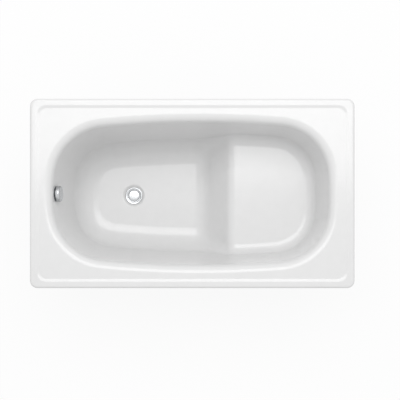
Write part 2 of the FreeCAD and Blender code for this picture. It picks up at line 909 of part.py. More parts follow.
def outlet_pipe():
    bead = on_outlet(outlet_bead_x)
    bead_end = bead - ALONG * outlet_bead_length
    near, far = on_outlet(mouth_x + outlet_overlap), on_outlet(-outlet_reach)
    pipe = rod(outlet_radius, near, far).fuse(rod(outlet_bead_radius, bead, bead_end))
    return pipe.cut(rod(outlet_bore, near, far)).removeSplitter()


trap_seal_top = cup_top_z + trap_seal_height
trap_nut_foot = UP * (trap_seal_top - nut_length + nut_lip)
parts["trap_body"] = in_drain(trap_body())
parts["trap_seal"] = in_drain(washer(spigot_radius, socket_radius, cup_top_z, trap_seal_top))
parts["trap_nut"] = in_drain(lipped_nut(nut_radius, nut_bore, spigot_radius, trap_nut_foot, UP))
parts["outlet_seal"] = in_drain(tube(
    outlet_socket_radius, outlet_radius, on_outlet(mouth_x), on_outlet(outlet_seal_x)))
parts["outlet_nut"] = in_drain(lipped_nut(
    nut_radius, outlet_nut_bore, outlet_radius, on_outlet(outlet_nut_x), ALONG * -1))
parts["outlet_pipe"] = in_drain(outlet_pipe())

# Leg brackets: bent steel channels stuck under the floor and under the seat
bracket_width = 40.0
bracket_depth = 15.0
pad_thickness = 3.0
floor_bracket_x = -115.0
seat_bracket_x = 260.0
foot_y = 212.0
bracket_foot_y = 235.0
bracket_foot_drop = 38.5
floor_bracket_shoulder_y = 185.0
floor_bracket_web_y = 140.0
seat_bracket_shoulder_y = 190.0
seat_bracket_web_y = 176.0
floor_pad_half_width = 120.0
seat_pad_half_width = 150.0
pad_inset = 2.0
rod_radius = 5.0
floor_under_z = floor_z - sheet
seat_under_z = seat_z - sheet
bracket_foot_z = floor_under_z - bracket_foot_drop


def offset_path(path, distance):
    """The path moved to its right by a distance, with mitred corners."""
    moved = []
    for index, spot in enumerate(path):
        ways = [(b - a).normalize() for a, b in zip(path[index - 1:index + 1], path[index:index + 2])
                if index and index + 1 < len(path)]
        if not ways:
            near = (path[1] - path[0]) if index == 0 else (path[-1] - path[-2])
            ways = [near.normalize()] * 2
        middle = (ways[0] + ways[1]).normalize()
        side = Vector(0, middle.z, -middle.y)
        moved.append(spot + side * (distance / side.dot(Vector(0, ways[0].z, -ways[0].y))))
    return moved


def channel(path, place_x):
    """A channel that is open below, bent along a path of its top face."""
    def band(near, far, half):
        outline = offset_path(path, near) + offset_path(path, far)[::-1]
        face = Part.Face(Part.makePolygon([spot - ALONG * half for spot in outline + outline[:1]]))
        return face.extrude(ALONG * 2 * half)

    body = band(0.0, bracket_depth, bracket_width / 2)
    body = body.cut(band(sheet, bracket_depth + overrun, bracket_width / 2 - sheet))
    body.translate(ALONG * place_x)
    for side in (-1, 1):
        foot = Vector(place_x, side * foot_y, bracket_foot_z)
        body = body.cut(rod(rod_radius + running_gap, foot - UP * overrun, foot + UP * overrun))
    return body


def bracket_path(web_z, web_y, shoulder_y):
    half = [(-bracket_foot_y, bracket_foot_z), (-shoulder_y, bracket_foot_z), (-web_y, web_z)]
    return [Vector(0, y, z) for y, z in half] + [Vector(0, -y, z) for y, z in reversed(half)]


parts["floor_leg_bracket"] = channel(
    bracket_path(floor_under_z - pad_thickness, floor_bracket_web_y, floor_bracket_shoulder_y),
    floor_bracket_x,
)
parts["seat_leg_bracket"] = channel(
    bracket_path(seat_under_z - pad_thickness, seat_bracket_web_y, seat_bracket_shoulder_y),
    seat_bracket_x,
)


def pad(place_x, half_length, half_width, high):
    return box(
        (place_x - half_length, place_x + half_length),
        (-half_width, half_width),
        (high - pad_thickness, high),
    )


pad_half_length = bracket_width / 2 - pad_inset
parts["floor_bracket_pad"] = pad(
    floor_bracket_x, pad_half_length, floor_pad_half_width, floor_under_z)
parts["seat_bracket_pad"] = pad(
    seat_bracket_x, pad_half_length, seat_pad_half_width, seat_under_z)

# Damping pads stuck to the underside of the floor and of the seat
floor_damping_x = -50.0
floor_damping_half_length = 32.0
floor_damping_half_width = 95.0
seat_damping_x = 355.0
seat_damping_half_length = 55.0
seat_damping_half_width = 110.0
parts["floor_damping_pad"] = pad(
    floor_damping_x, floor_damping_half_length, floor_damping_half_width, floor_under_z)
parts["seat_damping_pad"] = pad(
    seat_damping_x, seat_damping_half_length, seat_damping_half_width, seat_under_z)

# Adjustable feet: a plastic foot on a threaded rod, locked to the bracket by two nuts
foot_radius_low = 22.0
foot_side = 7.0
foot_neck_radius = 9.0
foot_neck_z = 14.0
foot_top_z = 24.0
rod_foot_z = 8.0
rod_above_bracket = 47.0
rod_nut_sides = 6
rod_nut_radius = 9.0
rod_nut_height = 6.0
foot_places = {
    "floor_left": (floor_bracket_x, foot_y),
    "floor_right": (floor_bracket_x, -foot_y),
    "seat_left": (seat_bracket_x, foot_y),
    "seat_right": (seat_bracket_x, -foot_y),
}


def rod_nuts(low):
    nut = prism(rod_nut_sides, rod_nut_radius, rod_radius + running_gap, low, low + rod_nut_height)
    nuts = []
    for x, y in foot_places.values():
        nuts.append(placed(nut, FreeCAD.Placement(Vector(x, y, 0), FreeCAD.Rotation())))
    return Part.makeCompound(nuts)


for name, (x, y) in foot_places.items():
    frame = FreeCAD.Placement(Vector(x, y, 0), FreeCAD.Rotation())
    parts[name + "_foot"] = placed(turned([
        (0.0, 0.0),
        (foot_radius_low, 0.0),
        (foot_radius_low, foot_side),
        (foot_neck_radius, foot_neck_z),
        (foot_neck_radius, foot_top_z),
        (rod_radius, foot_top_z),
        (rod_radius, rod_foot_z),
        (0.0, rod_foot_z),
    ]), frame)
    rod_top = UP * (bracket_foot_z + rod_above_bracket)
    parts[name + "_rod"] = placed(rod(rod_radius, UP * rod_foot_z, rod_top), frame)
parts["upper_foot_nuts"] = rod_nuts(bracket_foot_z)
parts["lower_foot_nuts"] = rod_nuts(bracket_foot_z - sheet - rod_nut_height)

# Earth tag: an angle welded under the deck, with a bolt and a nut through it
tag_length = 22.0
tag_depth = 20.0
tag_height = 24.5
tag_hole_drop = 14.5
tag_from_end = 44.0
tag_from_side = 118.0
bolt_radius = 3.0
bolt_head_radius = 5.8
bolt_head_height = 4.0
bolt_length = 16.0


tag_corner = Vector(tag_from_end - rim_length / 2, tag_from_side - rim_width / 2, deck_z - sheet)
tag_middle = tag_corner + ALONG * (tag_length / 2) - UP * tag_hole_drop


def earth_tag():
    far_x = (tag_corner.x, tag_corner.x + tag_length)
    foot = tag_corner.z - tag_height
    plate = box(far_x, (tag_corner.y, tag_corner.y + sheet), (foot, tag_corner.z))
    top = box(far_x, (tag_corner.y, tag_corner.y + tag_depth), (tag_corner.z - sheet, tag_corner.z))
    hole = rod(bolt_radius, tag_middle, tag_middle + ACROSS * sheet)
    return plate.fuse(top).cut(hole).removeSplitter()


def earth_bolt():
    shank = rod(bolt_radius, UP * -bolt_length, CENTRE)
    head = prism(rod_nut_sides, bolt_head_radius, 0.0, 0.0, bolt_head_height)
    return shank.fuse(head).removeSplitter()


bolt_frame = FreeCAD.Placement(tag_middle, FreeCAD.Rotation(UP, ACROSS * -1))
parts["earth_tag"] = earth_tag()
parts["earth_bolt"] = placed(earth_bolt(), bolt_frame)
parts["earth_nut"] = placed(
    prism(rod_nut_sides, bolt_head_radius, bolt_radius, -sheet - bolt_head_height, -sheet),
    bolt_frame,
)

os.makedirs("parts", exist_ok=True)
for name, shape in parts.items():
    shape.exportStep("parts/" + name + ".step")
    print(name, shape.isValid(), len(shape.Solids), round(shape.Volume))
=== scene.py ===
import math

import bmesh
import bpy
import numpy as np
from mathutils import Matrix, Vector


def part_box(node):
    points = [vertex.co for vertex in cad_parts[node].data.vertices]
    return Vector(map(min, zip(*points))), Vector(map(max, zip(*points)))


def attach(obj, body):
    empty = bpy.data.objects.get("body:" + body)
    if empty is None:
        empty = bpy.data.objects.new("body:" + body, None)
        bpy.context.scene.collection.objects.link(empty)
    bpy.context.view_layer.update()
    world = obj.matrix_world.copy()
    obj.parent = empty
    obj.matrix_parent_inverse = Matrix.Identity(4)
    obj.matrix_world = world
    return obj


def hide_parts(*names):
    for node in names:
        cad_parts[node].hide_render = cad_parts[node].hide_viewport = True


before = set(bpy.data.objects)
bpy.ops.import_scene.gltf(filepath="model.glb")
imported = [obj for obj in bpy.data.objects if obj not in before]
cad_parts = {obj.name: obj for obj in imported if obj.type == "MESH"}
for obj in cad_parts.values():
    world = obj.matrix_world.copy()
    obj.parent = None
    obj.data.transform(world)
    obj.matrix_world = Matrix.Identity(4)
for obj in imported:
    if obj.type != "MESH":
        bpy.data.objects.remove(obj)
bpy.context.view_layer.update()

# Camera and studio.
# The bath is seen from straight above, from about three metres over its rim, in a white room with
# one broad lamp above it, a little beyond its long side.

camera_height = 3.55
film_width = 36.0
picture_width_at_rim = 1.475
picture_centre = (0.0286, -0.0243)
camera_over_y = -0.076
rim_top = 0.55
floor_size = 40.0
floor_white = 0.9
sky_light = 0.7
window_place = (0.1, 1.2, 3.6)
window_size = (3.0, 2.2)
window_power = 63.0


def hex_colour(code):
    """The linear colour of an sRGB hex code: each channel is undone from its display curve."""
    channels = [int(code[i:i + 2], 16) / 255 for i in (1, 3, 5)]
    linear = [c / 12.92 if c <= 0.04045 else ((c + 0.055) / 1.055) ** 2.4 for c in channels]
    return (*linear, 1.0)


def add_node(tree, kind, settings=None, links=None):
    """One shader node: its sockets and fields set from settings, its inputs linked from links."""
    new = tree.nodes.new(kind)
    for name, value in (settings or {}).items():
        if isinstance(name, int) or name in new.inputs.keys():
            new.inputs[name].default_value = value
        else:
            setattr(new, name, value)
    for name, source in (links or {}).items():
        tree.links.new(source, new.inputs[name])
    return new


def new_material(name):
    """An empty node material, its tree, and the output node that its surface goes into."""
    material = bpy.data.materials.new(name)
    material.use_nodes = True
    material.node_tree.nodes.clear()
    output = material.node_tree.nodes.new("ShaderNodeOutputMaterial")
    return material, material.node_tree, output


def seen_by_eye(tree):
    """One for rays from the camera, in gloss and through glass, and nought for all other light."""
    ray = add_node(tree, "ShaderNodeLightPath")
    mirrored = add_node(
        tree,
        "ShaderNodeMath",
        {"operation": "MAXIMUM"},
        {0: ray.outputs["Is Glossy Ray"], 1: ray.outputs["Is Transmission Ray"]},
    )
    seen = add_node(
        tree,
        "ShaderNodeMath",
        {"operation": "MAXIMUM"},
        {0: ray.outputs["Is Camera Ray"], 1: mirrored.outputs[0]},
    )
    return seen.outputs[0]


camera_data = bpy.data.cameras.new("camera")
camera = bpy.data.objects.new("camera", camera_data)
bpy.context.scene.collection.objects.link(camera)
camera.location = (picture_centre[0], camera_over_y, camera_height)
camera_data.sensor_width = film_width
camera_data.lens = film_width * (camera_height - rim_top) / picture_width_at_rim
camera_data.shift_y = (picture_centre[1] - camera_over_y) / picture_width_at_rim
bpy.context.scene.camera = camera
bpy.context.scene.view_settings.view_transform = "Standard"

floor_mesh = bpy.data.meshes.new("floor")
corner = floor_size / 2
floor_mesh.from_pydata(
    [(-corner, -corner, 0), (corner, -corner, 0), (corner, corner, 0), (-corner, corner, 0)],
    [],
    [(0, 1, 2, 3)],
)
floor = bpy.data.objects.new("floor", floor_mesh)
bpy.context.scene.collection.objects.link(floor)

# Matt white studio floor: it shows white to the camera and in gloss, and keeps a soft shadow.
material, tree, output = new_material("studio_floor")
paint = add_node(tree, "ShaderNodeBsdfDiffuse", {"Color": hex_colour("#F2F2F2")})
white = add_node(tree, "ShaderNodeEmission", {"Color": hex_colour("#FFFFFF"), "Strength": 1.0})
share = add_node(
    tree,
    "ShaderNodeMath",
    {"operation": "MULTIPLY", 1: floor_white},
    {0: seen_by_eye(tree)},
)
mixed = add_node(
    tree,
    "ShaderNodeMixShader",
    {},
    {0: share.outputs[0], 1: paint.outputs[0], 2: white.outputs[0]},
)
tree.links.new(mixed.outputs[0], output.inputs["Surface"])
floor_mesh.materials.append(material)

# The room round the bath: an even white that is full where it is seen and weaker as light.
world = bpy.data.worlds.new("studio")
world.use_nodes = True
bpy.context.scene.world = world
sky = world.node_tree.nodes["Background"]
sky.inputs["Color"].default_value = hex_colour("#FFFFFF")
strength = add_node(
    world.node_tree,
    "ShaderNodeMapRange",
    {"To Min": sky_light, "To Max": 1.0},
    {"Value": seen_by_eye(world.node_tree)},
)
world.node_tree.links.new(strength.outputs[0], sky.inputs["Strength"])

window_data = bpy.data.lights.new("window", "AREA")
window_data.shape = "RECTANGLE"
window_data.size, window_data.size_y = window_size
window_data.energy = window_power
window = bpy.data.objects.new("window", window_data)
window.location = window_place
window.rotation_euler = (-math.atan2(window_place[1], window_place[2] - rim_top), 0, 0)
bpy.context.scene.collection.objects.link(window)

# Overflow hose.
# A ribbed tube of soft grey PVC with plain cuffs, which carries overflow water down behind the
# basin. Its cuffs are pushed over the two nipples and held by grip nuts.

hose_route = [
    (-0.5320, 0.0, 0.4383), (-0.5176, 0.0, 0.3292), (-0.5110, 0.0, 0.2049),
    (-0.4374, 0.0, 0.1302), (-0.3527, 0.0, 0.1220), (-0.2830, 0.0, 0.1220),
]
hose_radius = 0.014
hose_bore = 0.0115
hose_cuff = 0.030
rib_pitch = 0.0055
rib_depth = 0.0013


def spline(name, route):
    """A cord's line: a smooth NURBS spline with the points of its route as control points."""
    curve = bpy.data.curves.new(name, "CURVE")
    curve.dimensions = "3D"
    curve.resolution_u = 24
    line = curve.splines.new("NURBS")
    line.points.add(len(route) - 1)
    line.points.foreach_set("co", np.column_stack([route, np.ones(len(route))]).ravel())
    line.order_u = 3
    line.use_endpoint_u = True
    return curve


def line_points(curve):
    """The points that a bare curve is drawn through, from its first end to its last."""
    holder = bpy.data.objects.new("line", curve)
    mesh = bpy.data.meshes.new_from_object(holder)
    points = np.empty(len(mesh.vertices) * 3)
    mesh.vertices.foreach_get("co", points)
    bpy.data.objects.remove(holder)
    return points.reshape(-1, 3)


def axis_path(place, way):
    """A straight path through a place; lengths along it are counted from that place."""
    way = np.array(way) / np.linalg.norm(way)
    return np.array([place - way, place + way]), -1.0


def rounded(corners, radius, steps=4):
    """An outline with its corners eased: each becomes a parabola that starts and ends a radius
    from the corner, or most of half an edge where the edge is short. A corner on the axis stays
    sharp."""
    most = 0.45
    corners = np.array(corners, float)
    cut = np.where(corners[:, 1] < 1e-9, 0.0, radius)[:, None]
    ends = []
    for beside in (np.roll(corners, 1, 0), np.roll(corners, -1, 0)):
        reach = np.linalg.norm(beside - corners, axis=1)[:, None]
        ends.append(corners + (beside - corners) * np.minimum(cut / np.maximum(reach, 1e-9), most))
    share = (np.arange(steps + 1) / steps)[:, None, None]
    bend = (1 - share) ** 2 * ends[0] + 2 * share * (1 - share) * corners + share**2 * ends[1]
    return bend.transpose(1, 0, 2).reshape(-1, 2)


def split_long(outline, step):
    """An outline with points added so that no two are further apart along it than a step."""
    reach = np.linalg.norm(np.diff(outline, axis=0), axis=1)
    count = np.maximum(1, np.ceil(reach / step)).astype(int)
    share = np.concatenate([np.arange(n) / n for n in count])[:, None]
    start = np.repeat(outline[:-1], count, 0)
    end = np.repeat(outline[1:], count, 0)
    return np.concatenate([start + share * (end - start), outline[-1:]])


def split_ring(outline, step):
    """The same for an outline whose end meets its start."""
    return split_long(np.concatenate([outline, outline[:1]]), step)[:-1]


def carried(outline, path, columns, ripple=None):
    """Points of an outline of (length, radius) carried round a path.

    Each is the path's point at that length, plus the radius times the cosine and the sine of
    the column's angle on two directions square to the path, worked out from Y, or from X where
    the path runs along Y. A ripple changes the radius.
    """
    line, first = path
    steps = np.diff(line, axis=0)
    lengths = first + np.concatenate([[0], np.cumsum(np.linalg.norm(steps, axis=1))])
    ways = np.gradient(line, lengths, axis=0)
    at = outline[:, 0]
    spot = np.stack([np.interp(at, lengths, line[:, k]) for k in range(3)], -1)
    way = np.stack([np.interp(at, lengths, ways[:, k]) for k in range(3)], -1)
    way /= np.linalg.norm(way, axis=1)[:, None]
    side = np.where(np.abs(way[:, 1:2]) > 0.9, (1.0, 0.0, 0.0), (0.0, 1.0, 0.0))
    side = np.cross(np.cross(way, side), way)
    side /= np.linalg.norm(side, axis=1)[:, None]
    up = np.cross(way, side)
    angle = 2 * math.pi * np.arange(columns) / columns
    radius = np.repeat(outline[:, 1:], columns, 1)
    if ripple:
        radius = ripple(at[:, None], radius, angle[None, :])
    radius = radius[..., None]
    turn = angle[None, :, None]
    return spot[:, None] + radius * (np.cos(turn) * up[:, None] + np.sin(turn) * side[:, None])


def grid_faces(rows, columns, closed=False):
    """Corner numbers of the quads of a grid whose rows run round; closed also joins its ends."""
    row = np.arange(rows if closed else rows - 1)[:, None]
    column = np.arange(columns)[None, :]
    after, beside = (row + 1) % rows, (column + 1) % columns
    corners = [row * columns + column, row * columns + beside,
               after * columns + beside, after * columns + column]
    return np.stack(np.broadcast_arrays(*corners), -1).reshape(-1, 4)


def add_piece(name, points, faces, finish, body, nodes=(), crease_deg=35):
    """A smooth-shaded piece on a body, from an array of points and of quads.

    Its finish is a material and the name of a slot for it, which is not used. The faces are turned
    outwards by the sign of their volume, and points that fall together at a pole are merged.
    """
    material, slot = finish
    points = points.reshape(-1, 3)
    a, b, c, d = points[faces].transpose(1, 0, 2)
    if np.sum(np.cross(b - a, c - a) * a + np.cross(c - a, d - a) * a) < 0:
        faces = faces[:, ::-1]
    mesh = bpy.data.meshes.new(name)
    mesh.from_pydata(points.tolist(), [], faces.tolist())
    work = bmesh.new()
    work.from_mesh(mesh)
    bmesh.ops.remove_doubles(work, verts=work.verts, dist=1e-6)
    work.to_mesh(mesh)
    work.free()
    mesh.polygons.foreach_set("use_smooth", np.ones(len(mesh.polygons), dtype=bool))
    mesh.set_sharp_from_angle(angle=math.radians(crease_deg))
    mesh.materials.append(material)
    piece = bpy.data.objects.new(name, mesh)
    bpy.context.scene.collection.objects.link(piece)
    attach(piece, body)
    if nodes:
        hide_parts(*nodes)
    return piece


def add_turned(name, outline, path, columns, finish, body, nodes=(), ripple=None):
    """A piece whose outline is carried round a path: a ring, or a solid where it meets the axis."""
    points = carried(outline, path, columns, ripple)
    faces = grid_faces(len(outline), columns, closed=outline[:, 1].min() > 1e-9)
    return add_piece(name, points, faces, finish, body, nodes)


def ribs(length, radius, angle):
    """Rings of ribs between the cuffs: the radius dips by a raised cosine of the length."""
    inside = np.clip((length - hose_cuff) / rib_pitch, 0, 1)
    inside = inside * np.clip((hose_length - hose_cuff - length) / rib_pitch, 0, 1)
    dip = rib_depth * (0.5 - 0.5 * np.cos(2 * math.pi * (length - hose_cuff) / rib_pitch))
    return radius - dip * inside * (radius > hose_bore) + 0 * angle


def clouded(name, tones, grain, relief, gloss):
    """A finish of two close tones mixed by one soft noise, which also raises its surface.

    Grain holds the noise's own settings, relief the bump's and gloss the surface's. The
    material comes with its tree, its noise and its surface.
    """
    material, tree, output = new_material(name)
    coords = add_node(tree, "ShaderNodeTexCoord").outputs["Object"]
    clouds = add_node(tree, "ShaderNodeTexNoise", grain, {"Vector": coords})
    tint = add_node(
        tree,
        "ShaderNodeMix",
        {"data_type": "RGBA", 6: hex_colour(tones[0]), 7: hex_colour(tones[1])},
        {0: clouds.outputs["Fac"]},
    )
    skin = add_node(tree, "ShaderNodeBump", relief, {"Height": clouds.outputs["Fac"]})
    surface = add_node(
        tree,
        "ShaderNodeBsdfPrincipled",
        gloss,
        {"Base Color": tint.outputs[2], "Normal": skin.outputs["Normal"]},
    )
    tree.links.new(surface.outputs[0], output.inputs["Surface"])
    return material, tree, clouds, surface


# Plasticised PVC, extruded and corrugated while hot: grey, slightly waxy, dull in the grooves.
soft_pvc, tree, clouds, surface = clouded(
    "corrugated_soft_pvc",
    ("#8D9092", "#A5A8A9"),
    {"Scale": 90.0, "Detail": 3.0, "Roughness": 0.6},
    {"Strength": 0.15, "Distance": 0.0003},
    {"IOR": 1.53},
)
gloss = add_node(
    tree,
    "ShaderNodeMapRange",
    {"To Min": 0.38, "To Max": 0.52},
    {"Value": clouds.outputs["Fac"]},
)
tree.links.new(gloss.outputs[0], surface.inputs["Roughness"])

hose_line = line_points(spline("overflow_hose_line", hose_route))
hose_length = float(np.linalg.norm(np.diff(hose_line, axis=0), axis=1).sum())
wall = split_long(np.array([(0, hose_radius), (hose_length, hose_radius)]), rib_pitch / 6)
bore = split_long(np.array([(hose_length, hose_bore), (0, hose_bore)]), rib_pitch * 2)
hose = add_turned(
    "overflow_hose_ribbed",
    np.concatenate([wall, bore]),
    (hose_line, 0.0),
    40,
    (soft_pvc, "grey_plastic"),
    "bath",
    ["overflow_hose"],
    ribs,
)

# Pull cable.
# A steel wire in a black sheath, clipped nowhere: it falls from the overflow in one free sweep
# round the trap to the lever's housing, with a crimped ferrule at each end.

cable_route = [
    (-0.5412, -0.0240, 0.4321), (-0.5307, -0.0240, 0.3519), (-0.5215, -0.0225, 0.2806),
    (-0.5086, -0.0307, 0.2106), (-0.4735, -0.0501, 0.1574), (-0.4194, -0.0820, 0.1319),
    (-0.3594, -0.1094, 0.1229), (-0.2841, -0.1370, 0.1210), (-0.2470, -0.1130, 0.1210),
    (-0.2470, -0.0590, 0.1210),
]
cable_radius = 0.003

# Extruded nylon sheath: near black, smooth, with a faint drawn grain.
sheath = clouded(
    "extruded_nylon_sheath",
    ("#151617", "#222426"),
    {"Scale": 400.0, "Detail": 2.0},
    {"Strength": 0.2, "Distance": 0.0001},
    {"Roughness": 0.36, "IOR": 1.53},
)[0]

cable_curve = spline("pull_cable_sheath", cable_route)
cable_curve.bevel_depth = cable_radius
cable_curve.bevel_resolution = 6
cable_curve.use_fill_caps = True
cable_curve.materials.append(sheath)
cable = bpy.data.objects.new("pull_cable_sheath", cable_curve)
bpy.context.scene.collection.objects.link(cable)
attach(cable, "bath")
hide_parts("pull_cable")

# Tub.
# One steel sheet, pressed in a die and fired with white enamel above and a grey ground coat
# below. It has a raised lip, a turned-down skirt, a moulded seat and a recess for the waste.

rim_half = (0.6, 0.35)
sheet = 0.0025
skirt_height = 0.034
edge_radius = 0.009
corner_radius = 0.028
lip_width = 0.023
lip_corner = 0.036
step_run = 0.013
deck_corner = 0.030
lip_rise = 0.003
half_width = 0.297
to_drain_end = 0.552
to_seat_end = 0.541
widest_x = 0.029
side_radius = 3.8
drain_corner = 0.234
drain_end = 0.530
seat_corner = 0.224
seat_end = 1.025
roll_radius = 0.033
draft = math.radians(7.5)
floor_depth = 0.388
floor_fillet = 0.098
seat_depth = 0.240
seat_fillet = 0.044
front_top_x = 0.150
front_foot_x = 0.044
front_edge_radius = 0.053
front_foot_radius = 0.090
drain_x = -0.247
waste_hole = 0.026
recess_depth = 0.007
recess_radius = 0.037
recess_run = 0.008
recess_rounding = 0.006
overflow_depth = 0.066
overflow_hole = 0.026
flat_radius = 0.035
flat_fade = 0.016
tub_columns = 320
tub_rings = {
    "skirt": 2, "edge": 8, "lip": 3, "step": 10, "deck": 5, "roll": 14, "wall": 22,
    "fillet": 16, "evening": 20, "recess": 16,
}
floor_rings_above = 72
floor_rings_below = 64
underside_share = 0.4
ring_margin = 0.004
crowding = 3.0
crowd_from = front_foot_x - 0.075
crowd_to = front_top_x + 0.045

deck_z = rim_top - lip_rise
floor_z = deck_z - floor_depth
seat_z = deck_z - seat_depth
recess_z = floor_z - recess_depth
steep = math.pi / 2 - draft


def quarter(length, width, end_radius, corner, side):
    """Three arcs tangent in turn: (centre, radius, start, end) of the end, corner and side."""
    end_x, side_y = length - end_radius, width - side
    to_end, to_side = end_radius - corner, side - corner
    gap = math.hypot(end_x, side_y)
    near = (to_end**2 - to_side**2 + gap**2) / (2 * gap)
    rise = math.sqrt(to_end**2 - near**2)
    way = (-end_x / gap, side_y / gap)
    x, y = end_x + way[0] * near - way[1] * rise, way[1] * near + way[0] * rise
    first = math.atan2(y, x - end_x)
    second = math.atan2(y - side_y, x)
    return [
        ((end_x, 0), end_radius, 0.0, first),
        ((x, y), corner, first, second),
        ((0, side_y), side, second, math.pi / 2),
    ]


def opening_arcs():
    """The twelve arcs of the opening, anticlockwise from the seat end's middle."""
    seat = quarter(to_seat_end - widest_x, half_width, seat_end, seat_corner, side_radius)
    drain = quarter(to_drain_end + widest_x, half_width, drain_end, drain_corner, side_radius)
    arcs = list(seat)
    arcs += [((-c[0], c[1]), r, math.pi - b, math.pi - a) for c, r, a, b in reversed(drain)]
    arcs += [((-c[0], -c[1]), r, math.pi + a, math.pi + b) for c, r, a, b in drain]
    arcs += [((c[0], -c[1]), r, -b, -a) for c, r, a, b in reversed(seat)]
    return [(c[0] + widest_x, c[1], r, a, b) for c, r, a, b in arcs]


def opening_points(place):
    """Points and outward normals at places 0 to 12 along the arcs: centre + radius x (cos, sin)."""
    arcs = np.array(opening_arcs())
    index = np.minimum(place.astype(int), len(arcs) - 1)
    cx, cy, radius, start, end = arcs[index].T
    angle = start + (place - index) * (end - start)
    normal = np.stack([np.cos(angle), np.sin(angle)], -1)
    return np.stack([cx, cy], -1) + radius[:, None] * normal, normal


def rectangle_points(angle, inset, radius):
    """Where a ray from the middle meets the rim's round-cornered rectangle, drawn in by inset."""
    way = np.stack([np.cos(angle), np.sin(angle)], -1)
    half = np.array(rim_half) - inset
    spot = way * np.min(half / np.maximum(np.abs(way), 1e-9), axis=-1)[:, None]
    centre = np.sign(way) * (half - radius)
    along = np.sum(way * centre, -1)
    inside = radius**2 - np.sum(centre**2, -1) + along**2
    round_spot = way * (along + np.sqrt(np.maximum(inside, 0)))[:, None]
    in_corner = np.all(np.abs(spot) > half - radius, axis=-1)
    return np.where(in_corner[:, None], round_spot, spot)


def tub_angles(count):
    """Ray angles from the middle, closest together where either outline bends most.

    A running sum of the opening's length, its turning, and bumps at the rim's corners is cut
    into equal steps. Beside the seat's front the length counts by the front's pull more.
    """
    front_pull, turning_pull, corner_pull, corner_spread = 1.5, 0.3, 7.0, 0.045
    place = np.linspace(0, 12, 24001)
    spots, normals = opening_points(place)
    angle = np.unwrap(np.arctan2(spots[:, 1], spots[:, 0]))
    length = np.linalg.norm(np.diff(spots, axis=0), axis=1)
    turning = np.linalg.norm(np.diff(normals, axis=0), axis=1)
    middle = (angle[1:] + angle[:-1]) / 2
    corner_angle = math.atan2(rim_half[1] - corner_radius / 2, rim_half[0] - corner_radius / 2)
    bumps = sum(
        np.exp(-(((middle - a + math.pi) % (2 * math.pi) - math.pi) / corner_spread) ** 2)
        for a in (corner_angle, math.pi - corner_angle, math.pi + corner_angle, -corner_angle)
    )
    beside_front = (spots[1:, 0] > crowd_from) & (spots[1:, 0] < crowd_to)
    weight = length * (1 + front_pull * beside_front) + turning_pull * turning
    weight += corner_pull * bumps * np.diff(angle)
    total = np.concatenate([[0], np.cumsum(weight)])
    even = np.arange(count) * total[-1] / count
    return np.interp(even, total, place), np.interp(even, total, angle)


def ramp(x, foot, top, foot_radius, top_radius):
    """Height over x of a level, a slope and a level, joined by arcs tangent to both."""
    slant = math.atan2(top[1] - foot[1], top[0] - foot[0])
    low, high = foot_radius * math.tan(slant / 2), top_radius * math.tan(slant / 2)
    low_x, high_x = foot[0] - low, top[0] + high
    low_arc = foot[1] + foot_radius - np.sqrt(np.maximum(foot_radius**2 - (x - low_x) ** 2, 0))
    high_arc = top[1] - top_radius + np.sqrt(np.maximum(top_radius**2 - (x - high_x) ** 2, 0))
    slope = foot[1] + (x - foot[0]) * math.tan(slant)
    height = np.where(x < low_x, foot[1], low_arc)
    height = np.where(x > foot[0] + low * math.cos(slant), slope, height)
    height = np.where(x > top[0] - high * math.cos(slant), high_arc, height)
    return np.where(x > high_x, top[1], height)


def bottom_height(x, inward):
    """Height of the floor, seat front and seat, or of the underside that far inside the sheet."""
    slant = math.atan2(seat_z - floor_z, front_top_x - front_foot_x)
    shift = inward * math.tan(slant / 2)
    foot = (front_foot_x + shift, floor_z - inward)
    top = (front_top_x + shift, seat_z - inward)
    return ramp(x, foot, top, front_foot_radius + inward, front_edge_radius - inward)


def recess_height(distance, inward):
    """Height over the distance from the waste: flat floor, a short slope, the bath's floor."""
    slant = math.atan2(recess_depth, recess_run)
    shift = inward * math.tan(slant / 2)
    foot = (recess_radius + shift, recess_z - inward)
    top = (recess_radius + shift + recess_run, floor_z - inward)
    return ramp(distance, foot, top, recess_rounding + inward, recess_rounding - inward)


def flatten_overflow(points, inward):
    """Press the wall flat round the overflow: its height over the flat fades in past the edge."""
    wall_reach = 0.02
    z = deck_z - overflow_depth
    drop = overflow_depth - roll_radius * (1 - math.cos(steep))
    inset = roll_radius * math.sin(steep) + drop * math.tan(draft)
    place = np.array([inset - to_drain_end, 0, z])
    out = np.array([math.cos(draft), 0, math.sin(draft)])
    offset = points - place
    height = offset @ out + inward
    distance = np.linalg.norm(offset - (offset @ out)[..., None] * out, axis=-1)
    fade = np.clip(1 - (distance - flat_radius) / flat_fade, 0, 1)
    near = (np.abs(height) < wall_reach) * fade * fade * (3 - 2 * fade)
    return points - (near * height)[..., None] * out


def crossing_share(start, end, x):
    """How far along each line from start to end it crosses a place x, kept between 0 and 1."""
    return np.clip((start[:, 0] - x) / np.maximum(start[:, 0] - end[:, 0], 1e-6), 0, 1)


